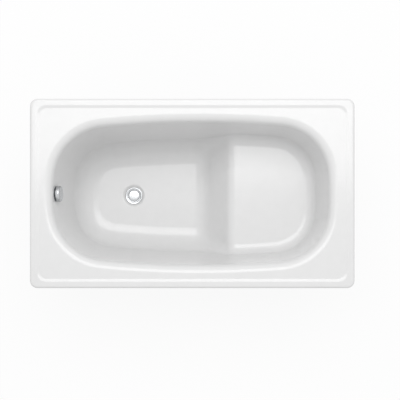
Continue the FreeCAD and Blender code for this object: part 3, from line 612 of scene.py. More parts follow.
def tub_rows(place, angle, inward, fine, floor_rings):
    """One face of the sheet as rings from the skirt's foot to the waste hole.

    Each ring is the same formula for all columns: a rectangle drawn in, then the opening moved
    in along its normals by the roll's arc, the wall's slope and the floor's fillet, as far as
    one even distance, then along lines that all point at the waste, as far as a circle round it.
    Where a line climbs the seat's front its rings stand closer by one plus the crowding. Inward
    is how far the face lies inside the sheet, and fine the share of the tub's rings that it has.
    """
    rings = []
    opening, normal = opening_points(place)

    def stretch(part):
        """Even shares of one part of the sheet, from its first new ring to one."""
        count = int(tub_rings[part] * fine)
        return np.arange(1, count + 1) / count

    def add_ring(spots, z):
        """The next ring: places in plan, with one height or one for each."""
        rings.append(np.column_stack([spots, np.broadcast_to(z, len(spots))]))

    def rim_ring(inset, radius, z):
        """A ring on the rim's rectangle, drawn in by an inset."""
        add_ring(rectangle_points(angle, inset, radius), z)

    def basin_ring(inset, z):
        """A ring on the opening, moved in against its normals by an inset."""
        add_ring(opening - np.reshape(inset, (-1, 1)) * normal, z)

    skirt_foot = rim_top - skirt_height
    for share in (0, *stretch("skirt")):
        z = skirt_foot + share * (skirt_height - edge_radius)
        rim_ring(inward, corner_radius - inward, z)
    bend = edge_radius - inward
    for turn in stretch("edge") * math.pi / 2:
        inset = edge_radius - bend * math.cos(turn)
        z = rim_top - edge_radius + bend * math.sin(turn)
        rim_ring(inset, corner_radius - inset, z)
    for share in stretch("lip"):
        inset = edge_radius + share * (lip_width - edge_radius)
        radius = corner_radius - edge_radius
        rim_ring(inset, radius + share * (lip_corner - radius), rim_top - inward)
    for share in stretch("step"):
        z = rim_top - inward - lip_rise * (1 - math.cos(math.pi * share)) / 2
        radius = lip_corner + share * (deck_corner - lip_corner)
        rim_ring(lip_width + share * step_run, radius, z)

    deck_edge = rectangle_points(angle, lip_width + step_run, deck_corner)
    for share in stretch("deck"):
        add_ring(deck_edge + share * (opening - deck_edge), deck_z - inward)

    roll = roll_radius - inward
    for turn in stretch("roll") * steep:
        basin_ring(roll * math.sin(turn), deck_z - roll_radius + roll * math.cos(turn))
    roll_end_z = deck_z - roll_radius + roll * math.cos(steep)
    roll_inset = roll * math.sin(steep)

    reach = np.full(len(angle), roll_inset + floor_depth * math.tan(draft) + floor_fillet)
    for _ in range(12):
        foot_x = opening[:, 0] - reach * normal[:, 0]
        share = np.clip((foot_x - front_foot_x) / (front_top_x - front_foot_x), 0, 1)
        fillet = floor_fillet + (seat_fillet - floor_fillet) * share**2 * (3 - 2 * share) + inward
        bottom = bottom_height(foot_x, inward)
        corner_inset = roll_inset + (roll_end_z - bottom) * math.tan(draft)
        tangent = fillet * math.tan(steep / 2)
        reach = corner_inset + tangent
    wall_foot_z = bottom + tangent * math.sin(steep)
    wall_foot_inset = corner_inset - tangent * math.cos(steep)
    for share in stretch("wall"):
        inset = roll_inset + share * (wall_foot_inset - roll_inset)
        basin_ring(inset, roll_end_z + share * (wall_foot_z - roll_end_z))
    for turn in steep * (1 - stretch("fillet")):
        basin_ring(reach - fillet * math.sin(turn), bottom + fillet * (1 - math.cos(turn)))

    even = reach.max() + ring_margin
    for share in stretch("evening"):
        spots = opening - (reach + share * (even - reach))[:, None] * normal
        add_ring(spots, bottom_height(spots[:, 0], inward))
    foot = rings[-1][:, :2]
    waste = np.array([drain_x, 0])
    around = (foot - waste) / np.linalg.norm(foot - waste, axis=1)[:, None]
    outer = recess_radius + recess_run + recess_rounding
    goal = waste + outer * around
    front_start = crossing_share(foot, goal, crowd_to)
    front_end = crossing_share(foot, goal, crowd_from)
    front_share = front_end - front_start
    for ring in np.arange(1, floor_rings + 1) / floor_rings:
        run = ring * (1 + crowding * front_share)
        share = np.where(
            run < front_start + (1 + crowding) * front_share,
            front_start + (run - front_start) / (1 + crowding),
            run - crowding * front_share,
        )
        share = np.where(run < front_start, run, share)[:, None]
        spots = foot + share * (goal - foot)
        add_ring(spots, bottom_height(spots[:, 0], inward))
    for share in stretch("recess"):
        distance = outer + share * (waste_hole - outer)
        add_ring(waste + distance * around, recess_height(distance, inward))
    return flatten_overflow(np.array(rings), inward)


# Vitreous enamel, sprayed and fired on steel: hard white glass, a little wavy where it flowed.
enamel_white = clouded(
    "fired_white_enamel",
    ("#DADADA", "#DEDEDE"),
    {"Scale": 28.0, "Detail": 2.0, "Roughness": 0.5},
    {"Strength": 0.04, "Distance": 0.0004},
    {"Roughness": 0.17, "IOR": 1.5},
)[0]

# Ground coat, dipped and fired first: blue-grey glass with fine black specks and pinholes.
ground_coat, tree, output = new_material("fired_ground_coat")
coords = add_node(tree, "ShaderNodeTexCoord").outputs["Object"]
clouds = add_node(
    tree, "ShaderNodeTexNoise", {"Scale": 14.0, "Detail": 4.0}, {"Vector": coords}
)
specks = add_node(
    tree, "ShaderNodeTexVoronoi", {"feature": "F1", "Scale": 320.0}, {"Vector": coords}
)
near_speck = add_node(
    tree,
    "ShaderNodeMapRange",
    {"From Min": 0.10, "From Max": 0.28, "To Min": 1.0, "To Max": 0.0},
    {"Value": specks.outputs["Distance"]},
)
base = add_node(
    tree,
    "ShaderNodeMix",
    {"data_type": "RGBA", 6: hex_colour("#4A5157"), 7: hex_colour("#5C646B")},
    {0: clouds.outputs["Fac"]},
)
tint = add_node(
    tree,
    "ShaderNodeMix",
    {"data_type": "RGBA", 7: hex_colour("#24282C")},
    {0: near_speck.outputs[0], 6: base.outputs[2]},
)
pits = add_node(
    tree,
    "ShaderNodeBump",
    {"Strength": 0.25, "Distance": 0.0003, "invert": True},
    {"Height": near_speck.outputs[0]},
)
surface = add_node(
    tree,
    "ShaderNodeBsdfPrincipled",
    {"Roughness": 0.34, "IOR": 1.5},
    {"Base Color": tint.outputs[2], "Normal": pits.outputs["Normal"]},
)
tree.links.new(surface.outputs[0], output.inputs["Surface"])

place, angle = tub_angles(tub_columns)
above = tub_rows(place, angle, 0.0, 1.0, floor_rings_above)
below = tub_rows(place, angle, sheet, underside_share, floor_rings_below)
points = np.concatenate([above, below[::-1]])
tub = add_piece(
    "tub_pressing",
    points,
    grid_faces(len(points), tub_columns, closed=True),
    (enamel_white, "enamel"),
    "bath",
    ["tub_shell"],
)
tub.data.materials.append(ground_coat)
row = np.arange(len(tub.data.polygons)) // tub_columns
hidden = (row >= len(above)) & (row < len(points) - 1)
tub.data.polygons.foreach_set("material_index", hidden.astype(np.int32))

overflow_place = np.array([-0.5144, 0.0, 0.481])
out_of_wall = np.array([math.cos(draft), 0, math.sin(draft)])
punch_reach = 0.03
cutter = add_turned(
    "overflow_punch",
    np.array([
        (-punch_reach, 0.0), (-punch_reach, overflow_hole), (punch_reach, overflow_hole),
        (punch_reach, 0.0),
    ]),
    axis_path(overflow_place, out_of_wall),
    64,
    (enamel_white, "enamel"),
    "bath",
)
punch = tub.modifiers.new("overflow_hole", "BOOLEAN")
punch.object = cutter
punch.operation = "DIFFERENCE"
punch.solver = "EXACT"
graph = bpy.context.evaluated_depsgraph_get()
punched = bpy.data.meshes.new_from_object(tub.evaluated_get(graph))
tub.modifiers.remove(punch)
tub.data = punched
tub.data.set_sharp_from_angle(angle=math.radians(35))
bpy.data.objects.remove(cutter)

# Waste.
# A chrome-plated brass flange screwed down on a rubber gasket, with a moulded body hung from it
# under the sheet: a bowl with a spigot, a hose nipple and a box for the lift lever.

mm = 0.001
waste_place = np.array([drain_x, 0.0, recess_z])
waste_axis = axis_path(waste_place, (0, 0, 1))
bowl_rib_count = 8
bowl_rib_height = 3.4 * mm
bowl_rib_foot = -24.0 * mm
bowl_rib_top = -8.5 * mm
bowl_rib_edge = 0.86
bowl_rib_flank = 0.08
bowl_wall = (29.5 * mm, 31.0 * mm)

# Chromium on polished brass: a bluish mirror, softened by wiping and a film of lime.
chrome_plate, tree, output = new_material("polished_chrome_plate")
coords = add_node(tree, "ShaderNodeTexCoord").outputs["Object"]
haze = add_node(
    tree,
    "ShaderNodeTexNoise",
    {"Scale": 60.0, "Detail": 3.0, "Roughness": 0.65},
    {"Vector": coords},
)
gloss = add_node(
    tree,
    "ShaderNodeMapRange",
    {"From Min": 0.35, "From Max": 0.75, "To Min": 0.19, "To Max": 0.28},
    {"Value": haze.outputs["Fac"]},
)
surface = add_node(
    tree,
    "ShaderNodeBsdfPrincipled",
    {"Base Color": hex_colour("#C6C8CA"), "Metallic": 1.0},
    {"Roughness": gloss.outputs[0]},
)
tree.links.new(surface.outputs[0], output.inputs["Surface"])
chrome = (chrome_plate, "chrome")

# Moulded black rubber: dull, with a fine bloom and the grain of its mould.
black_rubber = clouded(
    "moulded_black_rubber",
    ("#1B1B1C", "#2C2C2D"),
    {"Scale": 220.0, "Detail": 4.0},
    {"Strength": 0.3, "Distance": 0.0002},
    {"Roughness": 0.68, "IOR": 1.52},
)[0]
rubber = (black_rubber, "seal_rubber")


def moulded_plastic(name, slot, dark, light, roughness):
    """Injection-moulded plastic: two close tones in soft clouds, and a spark-eroded grain whose
    bump cells are one grain size across, drawn at 1.2 mm so that it shows."""
    grain_size = 1.2 * mm
    material, tree, output = new_material(name)
    coords = add_node(tree, "ShaderNodeTexCoord").outputs["Object"]
    clouds = add_node(
        tree, "ShaderNodeTexNoise", {"Scale": 35.0, "Detail": 3.0}, {"Vector": coords}
    )
    cells = add_node(
        tree,
        "ShaderNodeTexVoronoi",
        {"feature": "SMOOTH_F1", "Scale": 1 / grain_size},
        {"Vector": coords},
    )
    tint = add_node(
        tree,
        "ShaderNodeMix",
        {"data_type": "RGBA", 6: hex_colour(dark), 7: hex_colour(light)},
        {0: clouds.outputs["Fac"]},
    )
    grain = add_node(
        tree,
        "ShaderNodeBump",
        {"Strength": 0.12, "Distance": grain_size / 8},
        {"Height": cells.outputs["Distance"]},
    )
    surface = add_node(
        tree,
        "ShaderNodeBsdfPrincipled",
        {"Roughness": roughness, "IOR": 1.5},
        {"Base Color": tint.outputs[2], "Normal": grain.outputs["Normal"]},
    )
    tree.links.new(surface.outputs[0], output.inputs["Surface"])
    return material, slot


# White polypropylene is faintly warm and waxy; grey acetal is denser and a little duller.
white_moulding = moulded_plastic(
    "moulded_white_polypropylene", "white_plastic", "#E2E2DD", "#EDEDEA", 0.36
)
grey_moulding = moulded_plastic("moulded_grey_acetal", "grey_plastic", "#63676A", "#74787B", 0.4)


def drawn(corners, radii, steps=4):
    """A rounded outline whose corners and easing radii are given in millimetres."""
    return rounded(mm * np.array(corners), mm * np.array(radii), steps)


def add_seal(name, path, span, radii, ease, columns, node):
    """A rubber ring between two lengths along a path and between two radii, all in millimetres."""
    (start, end), (bore, rim) = span, radii
    outline = drawn([(start, bore), (start, rim), (end, rim), (end, bore)], ease)
    add_turned(name, outline, path, columns, rubber, "bath", [node])


gasket = (27.0, 34.0)
add_seal("waste_gasket_above", waste_axis, (0.0, 1.5), gasket, 0.5, 96, "waste_gasket_upper")
add_seal("waste_gasket_below", waste_axis, (-4.5, -2.5), gasket, 0.6, 96, "waste_gasket_lower")
flange_outline = drawn(
    [
        (-22.0, 21.0), (-22.0, 24.5), (1.5, 24.5), (1.5, 35.5), (2.7, 35.5), (3.8, 33.0),
        (3.3, 30.0), (1.2, 25.4), (0.2, 21.0),
    ],
    [0.4, 0.4, 0.3, 0.5, 0.7, 1.8, 1.8, 1.6, 0.5],
)
add_turned("waste_flange_spun", flange_outline, waste_axis, 128, chrome, "bath", ["waste_flange"])


def bowl_ribs(length, radius, angle):
    """Stiffening ribs under the collar: the radius swells where the angle meets a rib.

    A rib begins where the cosine of its count times the angle passes its edge, and is full one
    flank further.
    """
    height = np.clip((length - bowl_rib_foot) / (bowl_rib_top - bowl_rib_foot), 0, 1)
    near = np.clip((np.cos(bowl_rib_count * angle) - bowl_rib_edge) / bowl_rib_flank, 0, 1)
    on_side = (radius > bowl_wall[0]) & (radius < bowl_wall[1]) & (length > bowl_rib_foot)
    return radius + bowl_rib_height * height * near * on_side


bowl_outline = drawn(
    [
        (-4.5, 24.5), (-4.5, 34.0), (-8.5, 34.0), (-8.5, 30.0), (-54.0, 30.0), (-56.5, 27.5),
        (-56.5, 18.5), (-74.0, 18.5), (-74.0, 16.0), (-53.5, 16.0), (-53.5, 27.5), (-24.0, 27.5),
        (-24.0, 24.5),
    ],
    [0.5, 0.8, 0.8, 1.5, 2.0, 2.0, 1.5, 0.8, 0.5, 1.0, 1.5, 0.5, 0.3],
)
bowl_outline = split_long(bowl_outline, 4.0 * mm)
add_turned(
    "waste_bowl", bowl_outline, waste_axis, 160, white_moulding, "bath", ["waste_body"], bowl_ribs
)
inlet_axis = axis_path(waste_place + mm * np.array([0, 0, -30.0]), (-1, 0, 0))
inlet_outline = drawn(
    [(28.5, 9.0), (28.5, 17.0), (33.0, 17.0), (33.0, 11.2), (52.0, 11.2), (52.0, 9.0)],
    [0.2, 0.2, 0.6, 0.6, 0.8, 0.4],
)
add_turned("waste_inlet", inlet_outline, inlet_axis, 64, white_moulding, "bath")


def rounded_box(low, high, radius, steps=4):
    """Points of a box with rounded edges, from pole to pole.

    A sphere's directions are pushed out to the corners of the box drawn in by the radius: each
    point is the sign of the direction times that half size, plus the radius times the direction.
    """
    low, high = np.array(low), np.array(high)
    half = (high - low) / 2 - radius
    quarter = np.linspace(0, math.pi / 2, steps + 1)
    tilt = np.concatenate([quarter - math.pi / 2, quarter])
    turn = np.concatenate([quarter + k * math.pi / 2 for k in range(4)])
    tilt, turn = tilt[:, None], turn[None, :]
    way = np.stack(np.broadcast_arrays(
        np.cos(tilt) * np.cos(turn), np.cos(tilt) * np.sin(turn), np.sin(tilt)), -1)
    side_x = np.repeat([1, -1, -1, 1], steps + 1)[None, :]
    side_y = np.repeat([1, 1, -1, -1], steps + 1)[None, :]
    side_z = np.repeat([-1, 1], steps + 1)[:, None]
    sign = np.stack(np.broadcast_arrays(side_x, side_y, side_z), -1)
    shell = (low + high) / 2 + sign * half + radius * way
    pole = np.array([0, 0, half[2] + radius])
    bottom = np.broadcast_to((low + high) / 2 - pole, shell[:1].shape)
    top = np.broadcast_to((low + high) / 2 + pole, shell[:1].shape)
    return np.concatenate([bottom, shell, top])


def add_box(name, low, high, radius, finish, body, nodes=()):
    """A box with rounded edges as a piece."""
    points = rounded_box(low, high, radius)
    return add_piece(name, points, grid_faces(*points.shape[:2]), finish, body, nodes)


add_box(
    "waste_lever_box",
    waste_place + mm * np.array([-9.0, -56.0, -55.9]),
    waste_place + mm * np.array([9.0, -26.0, -22.0]),
    1.5 * mm,
    white_moulding,
    "bath",
)

# Plug.
# A spun brass cap, chromed to match the flange and very slightly domed, with a rubber seal under
# it, on a steel stem that slides in a moulded guide.

cap_outline = drawn(
    [(2.2, 0.0), (2.2, 23.7), (4.4, 23.7), (6.2, 21.4), (7.0, 16.0), (7.4, 0.0)],
    [0.0, 0.4, 1.0, 3.0, 8.0, 0.0],
    8,
)
add_turned("plug_cap_spun", cap_outline, waste_axis, 128, chrome, "plug", ["plug_cap"])
seal_outline = drawn([(0.95, 20.0), (1.3, 22.5), (2.2, 22.5), (2.2, 19.0), (1.1, 19.0)], 0.25)
add_turned("plug_seal_ring", seal_outline, waste_axis, 96, rubber, "plug", ["plug_seal"])

# Zinc plate on steel, passivated: grey metal with pale and bluish spangles a few mm across.
zinc_plate, tree, output = new_material("zinc_plated_steel")
coords = add_node(tree, "ShaderNodeTexCoord").outputs["Object"]
spangle = add_node(
    tree, "ShaderNodeTexVoronoi", {"feature": "F1", "Scale": 160.0}, {"Vector": coords}
)
stain = add_node(
    tree,
    "ShaderNodeTexNoise",
    {"Scale": 22.0, "Detail": 5.0, "Roughness": 0.7},
    {"Vector": coords},
)
facet = add_node(tree, "ShaderNodeSeparateColor", {}, {"Color": spangle.outputs["Color"]})
tint = add_node(
    tree,
    "ShaderNodeMix",
    {"data_type": "RGBA", 6: hex_colour("#A3A7AA"), 7: hex_colour("#C3C6C7")},
    {0: facet.outputs["Red"]},
)
dull = add_node(
    tree,
    "ShaderNodeMix",
    {"data_type": "RGBA", "blend_type": "MULTIPLY", 0: 0.35},
    {6: tint.outputs[2], 7: stain.outputs["Color"]},
)
gloss = add_node(
    tree,
    "ShaderNodeMapRange",
    {"To Min": 0.26, "To Max": 0.5},
    {"Value": stain.outputs["Fac"]},
)
surface = add_node(
    tree,
    "ShaderNodeBsdfPrincipled",
    {"Metallic": 1.0},
    {"Base Color": dull.outputs[2], "Roughness": gloss.outputs[0]},
)
tree.links.new(surface.outputs[0], output.inputs["Surface"])
zinc = (zinc_plate, "zinc")


def dress(finish, *names):
    """Give CAD nodes whose shape is right their material."""
    material, slot = finish
    for name in names:
        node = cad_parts[name]
        node.data.materials.clear()
        node.data.materials.append(material)


stem_outline = drawn([(-40.0, 0.0), (-40.0, 3.0), (2.2, 3.0), (2.2, 0.0)], 0.6)
add_turned("plug_stem_pin", stem_outline, waste_axis, 32, zinc, "plug", ["plug_stem"])
dress(grey_moulding, "stem_guide", "lift_lever")
dress(zinc, "lever_pin")

# Overflow.
# A moulded cup behind the wall, drawn up against a gasket by two screws through the carrier, with
# a nipple for the hose and a port for the pull cable.

down_wall = np.array([math.sin(draft), 0.0, -math.cos(draft)])
across = np.array([0.0, 1.0, 0.0])
overflow_axis = axis_path(overflow_place, out_of_wall)


def on_overflow(down, side, out):
    """A place given by lengths down the wall, across it and out of it, from the hole's centre."""
    return overflow_place + mm * (down * down_wall + side * across + out * out_of_wall)


cup_outline = drawn(
    [
        (-5.5, 26.0), (-5.5, 34.0), (-9.5, 34.0), (-9.5, 29.0), (-40.0, 29.0), (-40.0, 0.0),
        (-37.0, 0.0), (-37.0, 26.0),
    ],
    [0.4, 0.8, 0.8, 1.2, 2.5, 0.0, 0.0, 2.0],
)
# The outline is turned round so that it starts and ends on the axis.
cup_outline = np.roll(cup_outline, -int(np.argmax(cup_outline[:, 1] < 1e-9)) - 5, 0)
add_turned(
    "overflow_cup", cup_outline, overflow_axis, 128, white_moulding, "bath", ["overflow_body"]
)
outlet_line = axis_path(on_overflow(0, 0, -23), down_wall)
outlet_outline = drawn(
    [(27.5, 9.0), (27.5, 17.0), (35.5, 17.0), (35.5, 11.2), (56.0, 11.2), (56.0, 9.0)],
    [0.2, 0.2, 0.6, 0.6, 0.8, 0.4],
)
add_turned("overflow_outlet", outlet_outline, outlet_line, 64, white_moulding, "bath")
port_line = axis_path(on_overflow(0, -24, -33), down_wall)
port_outline = drawn([(12.0, 1.2), (12.0, 5.5), (40.0, 5.5), (42.0, 4.2), (42.0, 1.2)], 0.5)
add_turned("overflow_cable_port", port_outline, port_line, 40, white_moulding, "bath")
add_seal("overflow_gasket_ring", overflow_axis, (-5.5, -2.5), gasket, 0.8, 96, "overflow_gasket")
dress(grey_moulding, "overflow_carrier")
dress(zinc, "overflow_screws", "knob_shaft", "knob_grub_screw")

# Overflow knob.
# A hollow chromed cap with an eased edge, held on its shaft by a grub screw. Turning it pulls the
# cable and lifts the plug.

knob_outline = drawn(
    [
        (16.0, 0.0), (16.0, 4.0), (9.0, 4.0), (9.0, 7.0), (17.5, 7.0), (17.5, 25.6), (16.0, 28.0),
        (6.0, 28.0), (6.0, 30.0), (16.4, 30.0), (19.2, 28.2), (20.0, 25.0), (20.0, 0.0),
    ],
    [0.0, 0.2, 0.4, 0.4, 0.6, 0.8, 0.8, 0.4, 0.7, 1.8, 1.5, 2.5, 0.0],
    6,
)
add_turned("knob_spun", knob_outline, overflow_axis, 128, chrome, "knob", ["overflow_knob"])

# Grip nuts and ferrules.
# Moulded nuts with rounded ribs to grip by hand, on the hose's ends and the trap's two joints, and
# crimped steel ferrules on the cable.

grip_ribs = 18
grip_depth_share = 0.035
crimp_places = (5.0 * mm, 10.0 * mm)
crimp_width = 1.1 * mm
crimp_depth = 0.7 * mm


def grip(count, depth):
    """Ribs round a nut: the outer radius dips between them by a power of a cosine."""
    def ripple(length, radius, angle):
        """The radius less the depth times sin^4 of half the ribs' angle, on the outside only."""
        dip = (0.5 - 0.5 * np.cos(count * angle)) ** 2
        return radius - depth * dip * (radius > 0.9 * radius.max())
    return ripple


def add_nut(name, corners, path, nodes):
    """A ribbed nut of (length, radius) corners in millimetres, its open end where a path starts."""
    outline = split_ring(drawn(corners, 0.7, 3), 4.0 * mm)
    ribbed = grip(grip_ribs, grip_depth_share * outline[:, 1].max())
    add_turned(name, outline, path, 144, white_moulding, "bath", nodes, ribbed)


hose_nut = [(0.0, 14.3), (0.0, 17.4), (18.0, 17.4), (21.0, 16.2), (21.0, 14.3)]
hose_top = axis_path(on_overflow(35.5, 0, -23), down_wall)
add_nut("hose_grip_nut_upper", hose_nut, hose_top, ["hose_nut_upper"])
hose_end = axis_path(waste_place + mm * np.array([-33.0, 0, -30.0]), (-1, 0, 0))
add_nut("hose_grip_nut_lower", hose_nut, hose_end, ["hose_nut_lower"])

trap_nut = [
    (0.0, 22.3), (0.0, 26.8), (17.0, 26.8), (19.0, 25.0), (19.0, 18.5), (16.8, 18.5), (16.8, 22.3),
]
trap_nut_line = axis_path(waste_place + mm * np.array([0, 0, -61.5 - 16.8]), (0, 0, 1))
add_nut("trap_grip_nut", trap_nut, trap_nut_line, ["trap_nut"])
outlet_nut = [
    (0.0, 23.3), (0.0, 26.8), (17.0, 26.8), (19.0, 25.4), (19.0, 20.0), (16.8, 20.0), (16.8, 23.3),
]
outlet_nut_line = axis_path(waste_place + mm * np.array([-82.7, 0, -77.0]), (-1, 0, 0))
add_nut("outlet_grip_nut", outlet_nut, outlet_nut_line, ["outlet_nut"])


def crimps(length, radius, angle):
    """Two pressed grooves round a ferrule: the radius dips by a narrow bell at each."""
    groove = sum(np.exp(-((length - at) / crimp_width) ** 2) for at in crimp_places)
    return radius - crimp_depth * groove * (radius > 4.0 * mm) + 0 * angle


ferrule_outline = drawn([(0.0, 3.0), (0.0, 5.0), (14.0, 5.0), (14.0, 3.0)], 0.6)
ferrule_outline = split_ring(ferrule_outline, 0.6 * mm)
cable_top = axis_path(on_overflow(42, -24, -33), down_wall)
cable_end = axis_path(waste_place + mm * np.array([0, -56.0, -31.0]), (0, -1, 0))
for name, line, node in (
    ("cable_ferrule_top", cable_top, "cable_ferrule_upper"),
    ("cable_ferrule_end", cable_end, "cable_ferrule_lower"),
):
    add_turned(name, ferrule_outline, line, 40, zinc, "bath", [node], crimps)

# Trap.
# A moulded water trap: down from the waste, round a half circle and up, then level to the socket
# that the outlet pipe is sealed in. It is hollow all the way through.

trap_low = waste_place + mm * np.array([0, 0, -100.0])


def arc(centre, radius, start_deg, end_deg, count):
    """Points round an upright arc: the centre plus the radius times (cos, 0, sin)."""
    turn = np.radians(np.linspace(start_deg, end_deg, count))
    return centre + radius * np.stack([np.cos(turn), 0 * turn, np.sin(turn)], -1)


trap_line = np.concatenate([
    waste_place + mm * np.array([(0, 0, -64.0), (0, 0, -86.0)]),
    arc(trap_low + mm * np.array([-23.0, 0, 0]), 0.023, 0, -180, 41),
    arc(trap_low + mm * np.array([-69.0, 0, 0]), 0.023, 0, 90, 21),
    waste_place + mm * np.array([(-75.0, 0, -77.0), (-97.0, 0, -77.0)]),
])
trap_length = float(np.linalg.norm(np.diff(trap_line, axis=0), axis=1).sum())
socket = trap_length - 0.022
trap_wall = rounded(
    np.array([
        (0.0, 0.019), (0.0, 0.022), (0.022, 0.022), (0.025, 0.0185), (socket - 0.004, 0.0185),
        (socket, 0.023), (trap_length, 0.023), (trap_length, 0.020), (socket + 0.003, 0.020),
        (socket + 0.001, 0.016), (0.024, 0.016), (0.019, 0.019),
    ]),
    mm * np.array([0.5, 0.6, 1.2, 1.2, 1.5, 1.5, 0.8, 0.5, 0.4, 1.0, 1.0, 0.5]),
)
trap_wall = split_ring(trap_wall, 2.5 * mm)
add_turned("trap_bend", trap_wall, (trap_line, 0.0), 72, white_moulding, "bath", ["trap_body"])
add_seal("trap_seal_ring", waste_axis, (-64.0, -61.5), (18.5, 22.0), 0.6, 72, "trap_seal")
outlet_axis = axis_path(waste_place + mm * np.array([0, 0, -77.0]), (-1, 0, 0))
add_seal("outlet_seal_ring", outlet_axis, (97.0, 99.5), (20.0, 23.0), 0.6, 72, "outlet_seal")
pipe_outline = drawn(
    [
        (85.0, 18.0), (85.0, 20.0), (102.0, 20.0), (102.0, 21.5), (104.0, 21.5), (104.0, 20.0),
        (153.0, 20.0), (153.0, 18.0),
    ],
    [0.4, 0.5, 0.4, 0.8, 0.8, 0.5, 0.6, 0.4],
)
add_turned(
    "outlet_pipe_beaded", pipe_outline, outlet_axis, 72, grey_moulding, "bath", ["outlet_pipe"]
)

# Leg brackets and pads.
# Two channels pressed from plated sheet and bent down to their feet, glued to the basin through
# bitumen pads, with two more pads on the floor and the seat that deaden the ring of the steel.

# Bitumen felt, hot-pressed with a grid of small squares: soft black-grey, dull, a little chalky,
# with painted shade darkening the grooves between the squares.
felt, tree, output = new_material("pressed_bitumen_felt")
coords = add_node(tree, "ShaderNodeTexCoord").outputs["Object"]
grid = add_node(
    tree,
    "ShaderNodeTexBrick",
    {
        "offset": 0.0,
        "Scale": 1.0,
        "Mortar Size": 0.0012,
        "Mortar Smooth": 0.6,
        "Brick Width": 0.010,
        "Row Height": 0.010,
        "Color1": hex_colour("#343435"),
        "Color2": hex_colour("#3B3B3C"),
        # The darker grey between the squares is painted shade in the pressed grooves.
        "Mortar": hex_colour("#232324"),
    },
    {"Vector": coords},
)
fibres = add_node(
    tree, "ShaderNodeTexNoise", {"Scale": 500.0, "Detail": 3.0}, {"Vector": coords}
)
relief = add_node(
    tree,
    "ShaderNodeMath",
    {"operation": "SUBTRACT"},
    {0: fibres.outputs["Fac"], 1: grid.outputs["Fac"]},
)
press = add_node(
    tree, "ShaderNodeBump", {"Strength": 0.5, "Distance": 0.0006}, {"Height": relief.outputs[0]}
)
surface = add_node(
    tree,
    "ShaderNodeBsdfPrincipled",
    {"Roughness": 0.86, "IOR": 1.5},
    {"Base Color": grid.outputs["Color"], "Normal": press.outputs["Normal"]},
)
tree.links.new(surface.outputs[0], output.inputs["Surface"])
bitumen = (felt, "bitumen")

for node in ("floor_bracket_pad", "seat_bracket_pad", "floor_damping_pad", "seat_damping_pad"):
    low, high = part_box(node)
    add_box(node + "_pressed", low, high, 0.7 * mm, bitumen, "bath", [node])
dress(zinc, "floor_leg_bracket", "seat_leg_bracket")

# Feet.
# Threaded steel rods in moulded black feet, screwed up or down through the brackets and locked
# by a nut above and a nut below.

# Glass-filled polyamide: near black, with the sheen of a fine mould.
black_moulding = moulded_plastic(
    "moulded_black_polyamide", "black_plastic", "#1B1C1E", "#292B2D", 0.44
)
thread_pitch = 1.5 * mm
thread_depth = 0.75 * mm
thread_fade = 2.0 * mm
rod_radius = 5.0 * mm
web_count = 6
web_edge = 0.9
web_flank = 0.06
cone_foot = 7.0 * mm
cone_top = 20.0 * mm
cone_line = (20.5 * mm, 9.4 * mm)
neck_top = 24.0 * mm
foot_spots = {
    "floor_left": (-0.115, 0.212),
    "floor_right": (-0.115, -0.212),
    "seat_left": (0.260, 0.212),
    "seat_right": (0.260, -0.212),
}
foot_outline = drawn(
    [
        (0.0, 0.0), (0.0, 21.0), (1.5, 22.0), (7.0, 22.0), (11.0, 17.5), (14.0, 9.4), (24.0, 8.8),
        (24.0, 5.0), (8.0, 5.0), (8.0, 0.0),
    ],
    [0.0, 0.6, 0.8, 2.0, 4.0, 2.0, 0.8, 0.3, 0.2, 0.0],
)
foot_outline = np.concatenate([split_long(foot_outline[:-1], 1.5 * mm), foot_outline[-1:]])


def webs(length, radius, angle):
    """Webs up the foot's cone: the radius grows where the angle meets one, as far as a straight
    line from the rim to the neck. Edge and flank mean the same as on the waste's ribs."""
    line = np.interp(length, [cone_foot, cone_top], cone_line)
    near = np.clip((np.cos(web_count * angle) - web_edge) / web_flank, 0, 1)
    on_cone = (length > cone_foot) & (length < cone_top) & (radius > rod_radius + 1.0 * mm)
    return np.where(on_cone, radius + near * np.maximum(line - radius, 0), radius)


def thread(length, radius, angle):
    """A screw thread: the radius falls by a triangle wave of the length less the turn."""
    phase = (length / thread_pitch - angle / (2 * math.pi)) % 1
    fall = thread_depth * (1 - np.abs(2 * phase - 1))
    inside = np.clip((length - neck_top) / thread_fade, 0, 1)
    inside = inside * np.clip((rod_top - length) / thread_pitch, 0, 1)
    return radius - fall * inside * (radius > 0.9 * rod_radius)


rod_top = float(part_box("floor_left_rod")[1].z)
rod_chamfer = 0.8 * mm
rod_side = np.array([(22.0 * mm, rod_radius), (rod_top - rod_chamfer, rod_radius)])
rod_outline = np.concatenate([
    np.array([(8.0 * mm, 0.0), (8.0 * mm, rod_radius)]),
    split_long(rod_side, thread_pitch / 6),
    np.array([(rod_top, rod_radius - rod_chamfer), (rod_top, 0.0)]),
])
for body, (x, y) in foot_spots.items():
    line = axis_path(np.array([x, y, 0.0]), (0, 0, 1))
    foot, rod = body + "_foot", body + "_rod"
    add_turned(foot + "_moulded", foot_outline, line, 96, black_moulding, body, [foot], webs)
    add_turned(rod + "_threaded", rod_outline, line, 20, zinc, body, [rod], thread)


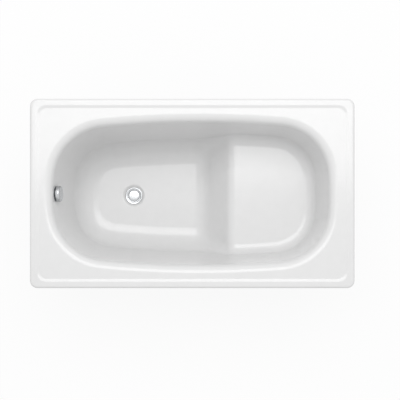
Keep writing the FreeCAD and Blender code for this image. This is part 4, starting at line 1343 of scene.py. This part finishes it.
def hexagon(corner, low, high):
    """Six flats with a chamfered end: the lesser of the hexagon's radius and a cone's at both
    ends; the hexagon's is its half width over the cosine of the angle from the flat's middle."""
    cone_start, cone_slope, outside = 0.89 * corner, 1.7, 0.62 * corner

    def ripple(length, radius, angle):
        """The lesser of flat and cone, on the outside only."""
        flat = corner * math.cos(math.pi / 6) / np.cos(angle % (math.pi / 3) - math.pi / 6)
        cone = cone_start + cone_slope * np.minimum(length - low, high - length)
        return np.where(radius > outside, np.minimum(flat, cone), radius)
    return ripple


def nut_points(corner, bore, low, high, path):
    """A hexagon nut of a corner radius and a bore between two lengths along a path."""
    outline = np.array([(low, bore), (low, corner), (high, corner), (high, bore)])
    outline = split_ring(outline, (high - low) / 12)
    return carried(outline, path, 48, hexagon(corner, low, high))


for node in ("upper_foot_nuts", "lower_foot_nuts"):
    low, high = (float(corner.z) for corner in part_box(node))
    sets = [
        nut_points(9.0 * mm, 5.3 * mm, low, high, axis_path(np.array([x, y, 0.0]), (0, 0, 1)))
        for x, y in foot_spots.values()
    ]
    faces = grid_faces(*sets[0].shape[:2], closed=True)
    points = np.concatenate([one.reshape(-1, 3) for one in sets])
    faces = np.concatenate([faces + k * len(points) // 4 for k in range(4)])
    add_piece(node + "_hexagon", points, faces, zinc, "bath", [node], crease_deg=25)

# Earth tag.
# A plated angle welded under the deck at the drain end, with the bolt and nut that the house's
# earth wire is clamped by.

dress(zinc, "earth_tag")
tag_middle = np.array([-0.545, -0.232, 0.530])
bolt_axis = axis_path(tag_middle, (0, -1, 0))
head_radius = 5.8 * mm
head_height = 4.0 * mm
bolt_outline = mm * np.array([
    (-16.0, 0.0), (-16.0, 2.6), (-15.4, 3.0), (0.0, 3.0), (0.0, 5.8), (4.0, 5.8), (4.0, 0.0),
])
bolt_outline = split_long(bolt_outline, 0.33 * mm)
flats = hexagon(head_radius, 0.0, head_height)
add_turned("earth_bolt_hexagon", bolt_outline, bolt_axis, 48, zinc, "bath", ["earth_bolt"], flats)
nut = nut_points(head_radius, 3.0 * mm, -6.5 * mm, -2.5 * mm, bolt_axis)
nut_faces = grid_faces(*nut.shape[:2], closed=True)
add_piece("earth_nut_hexagon", nut, nut_faces, zinc, "bath", ["earth_nut"], crease_deg=25)
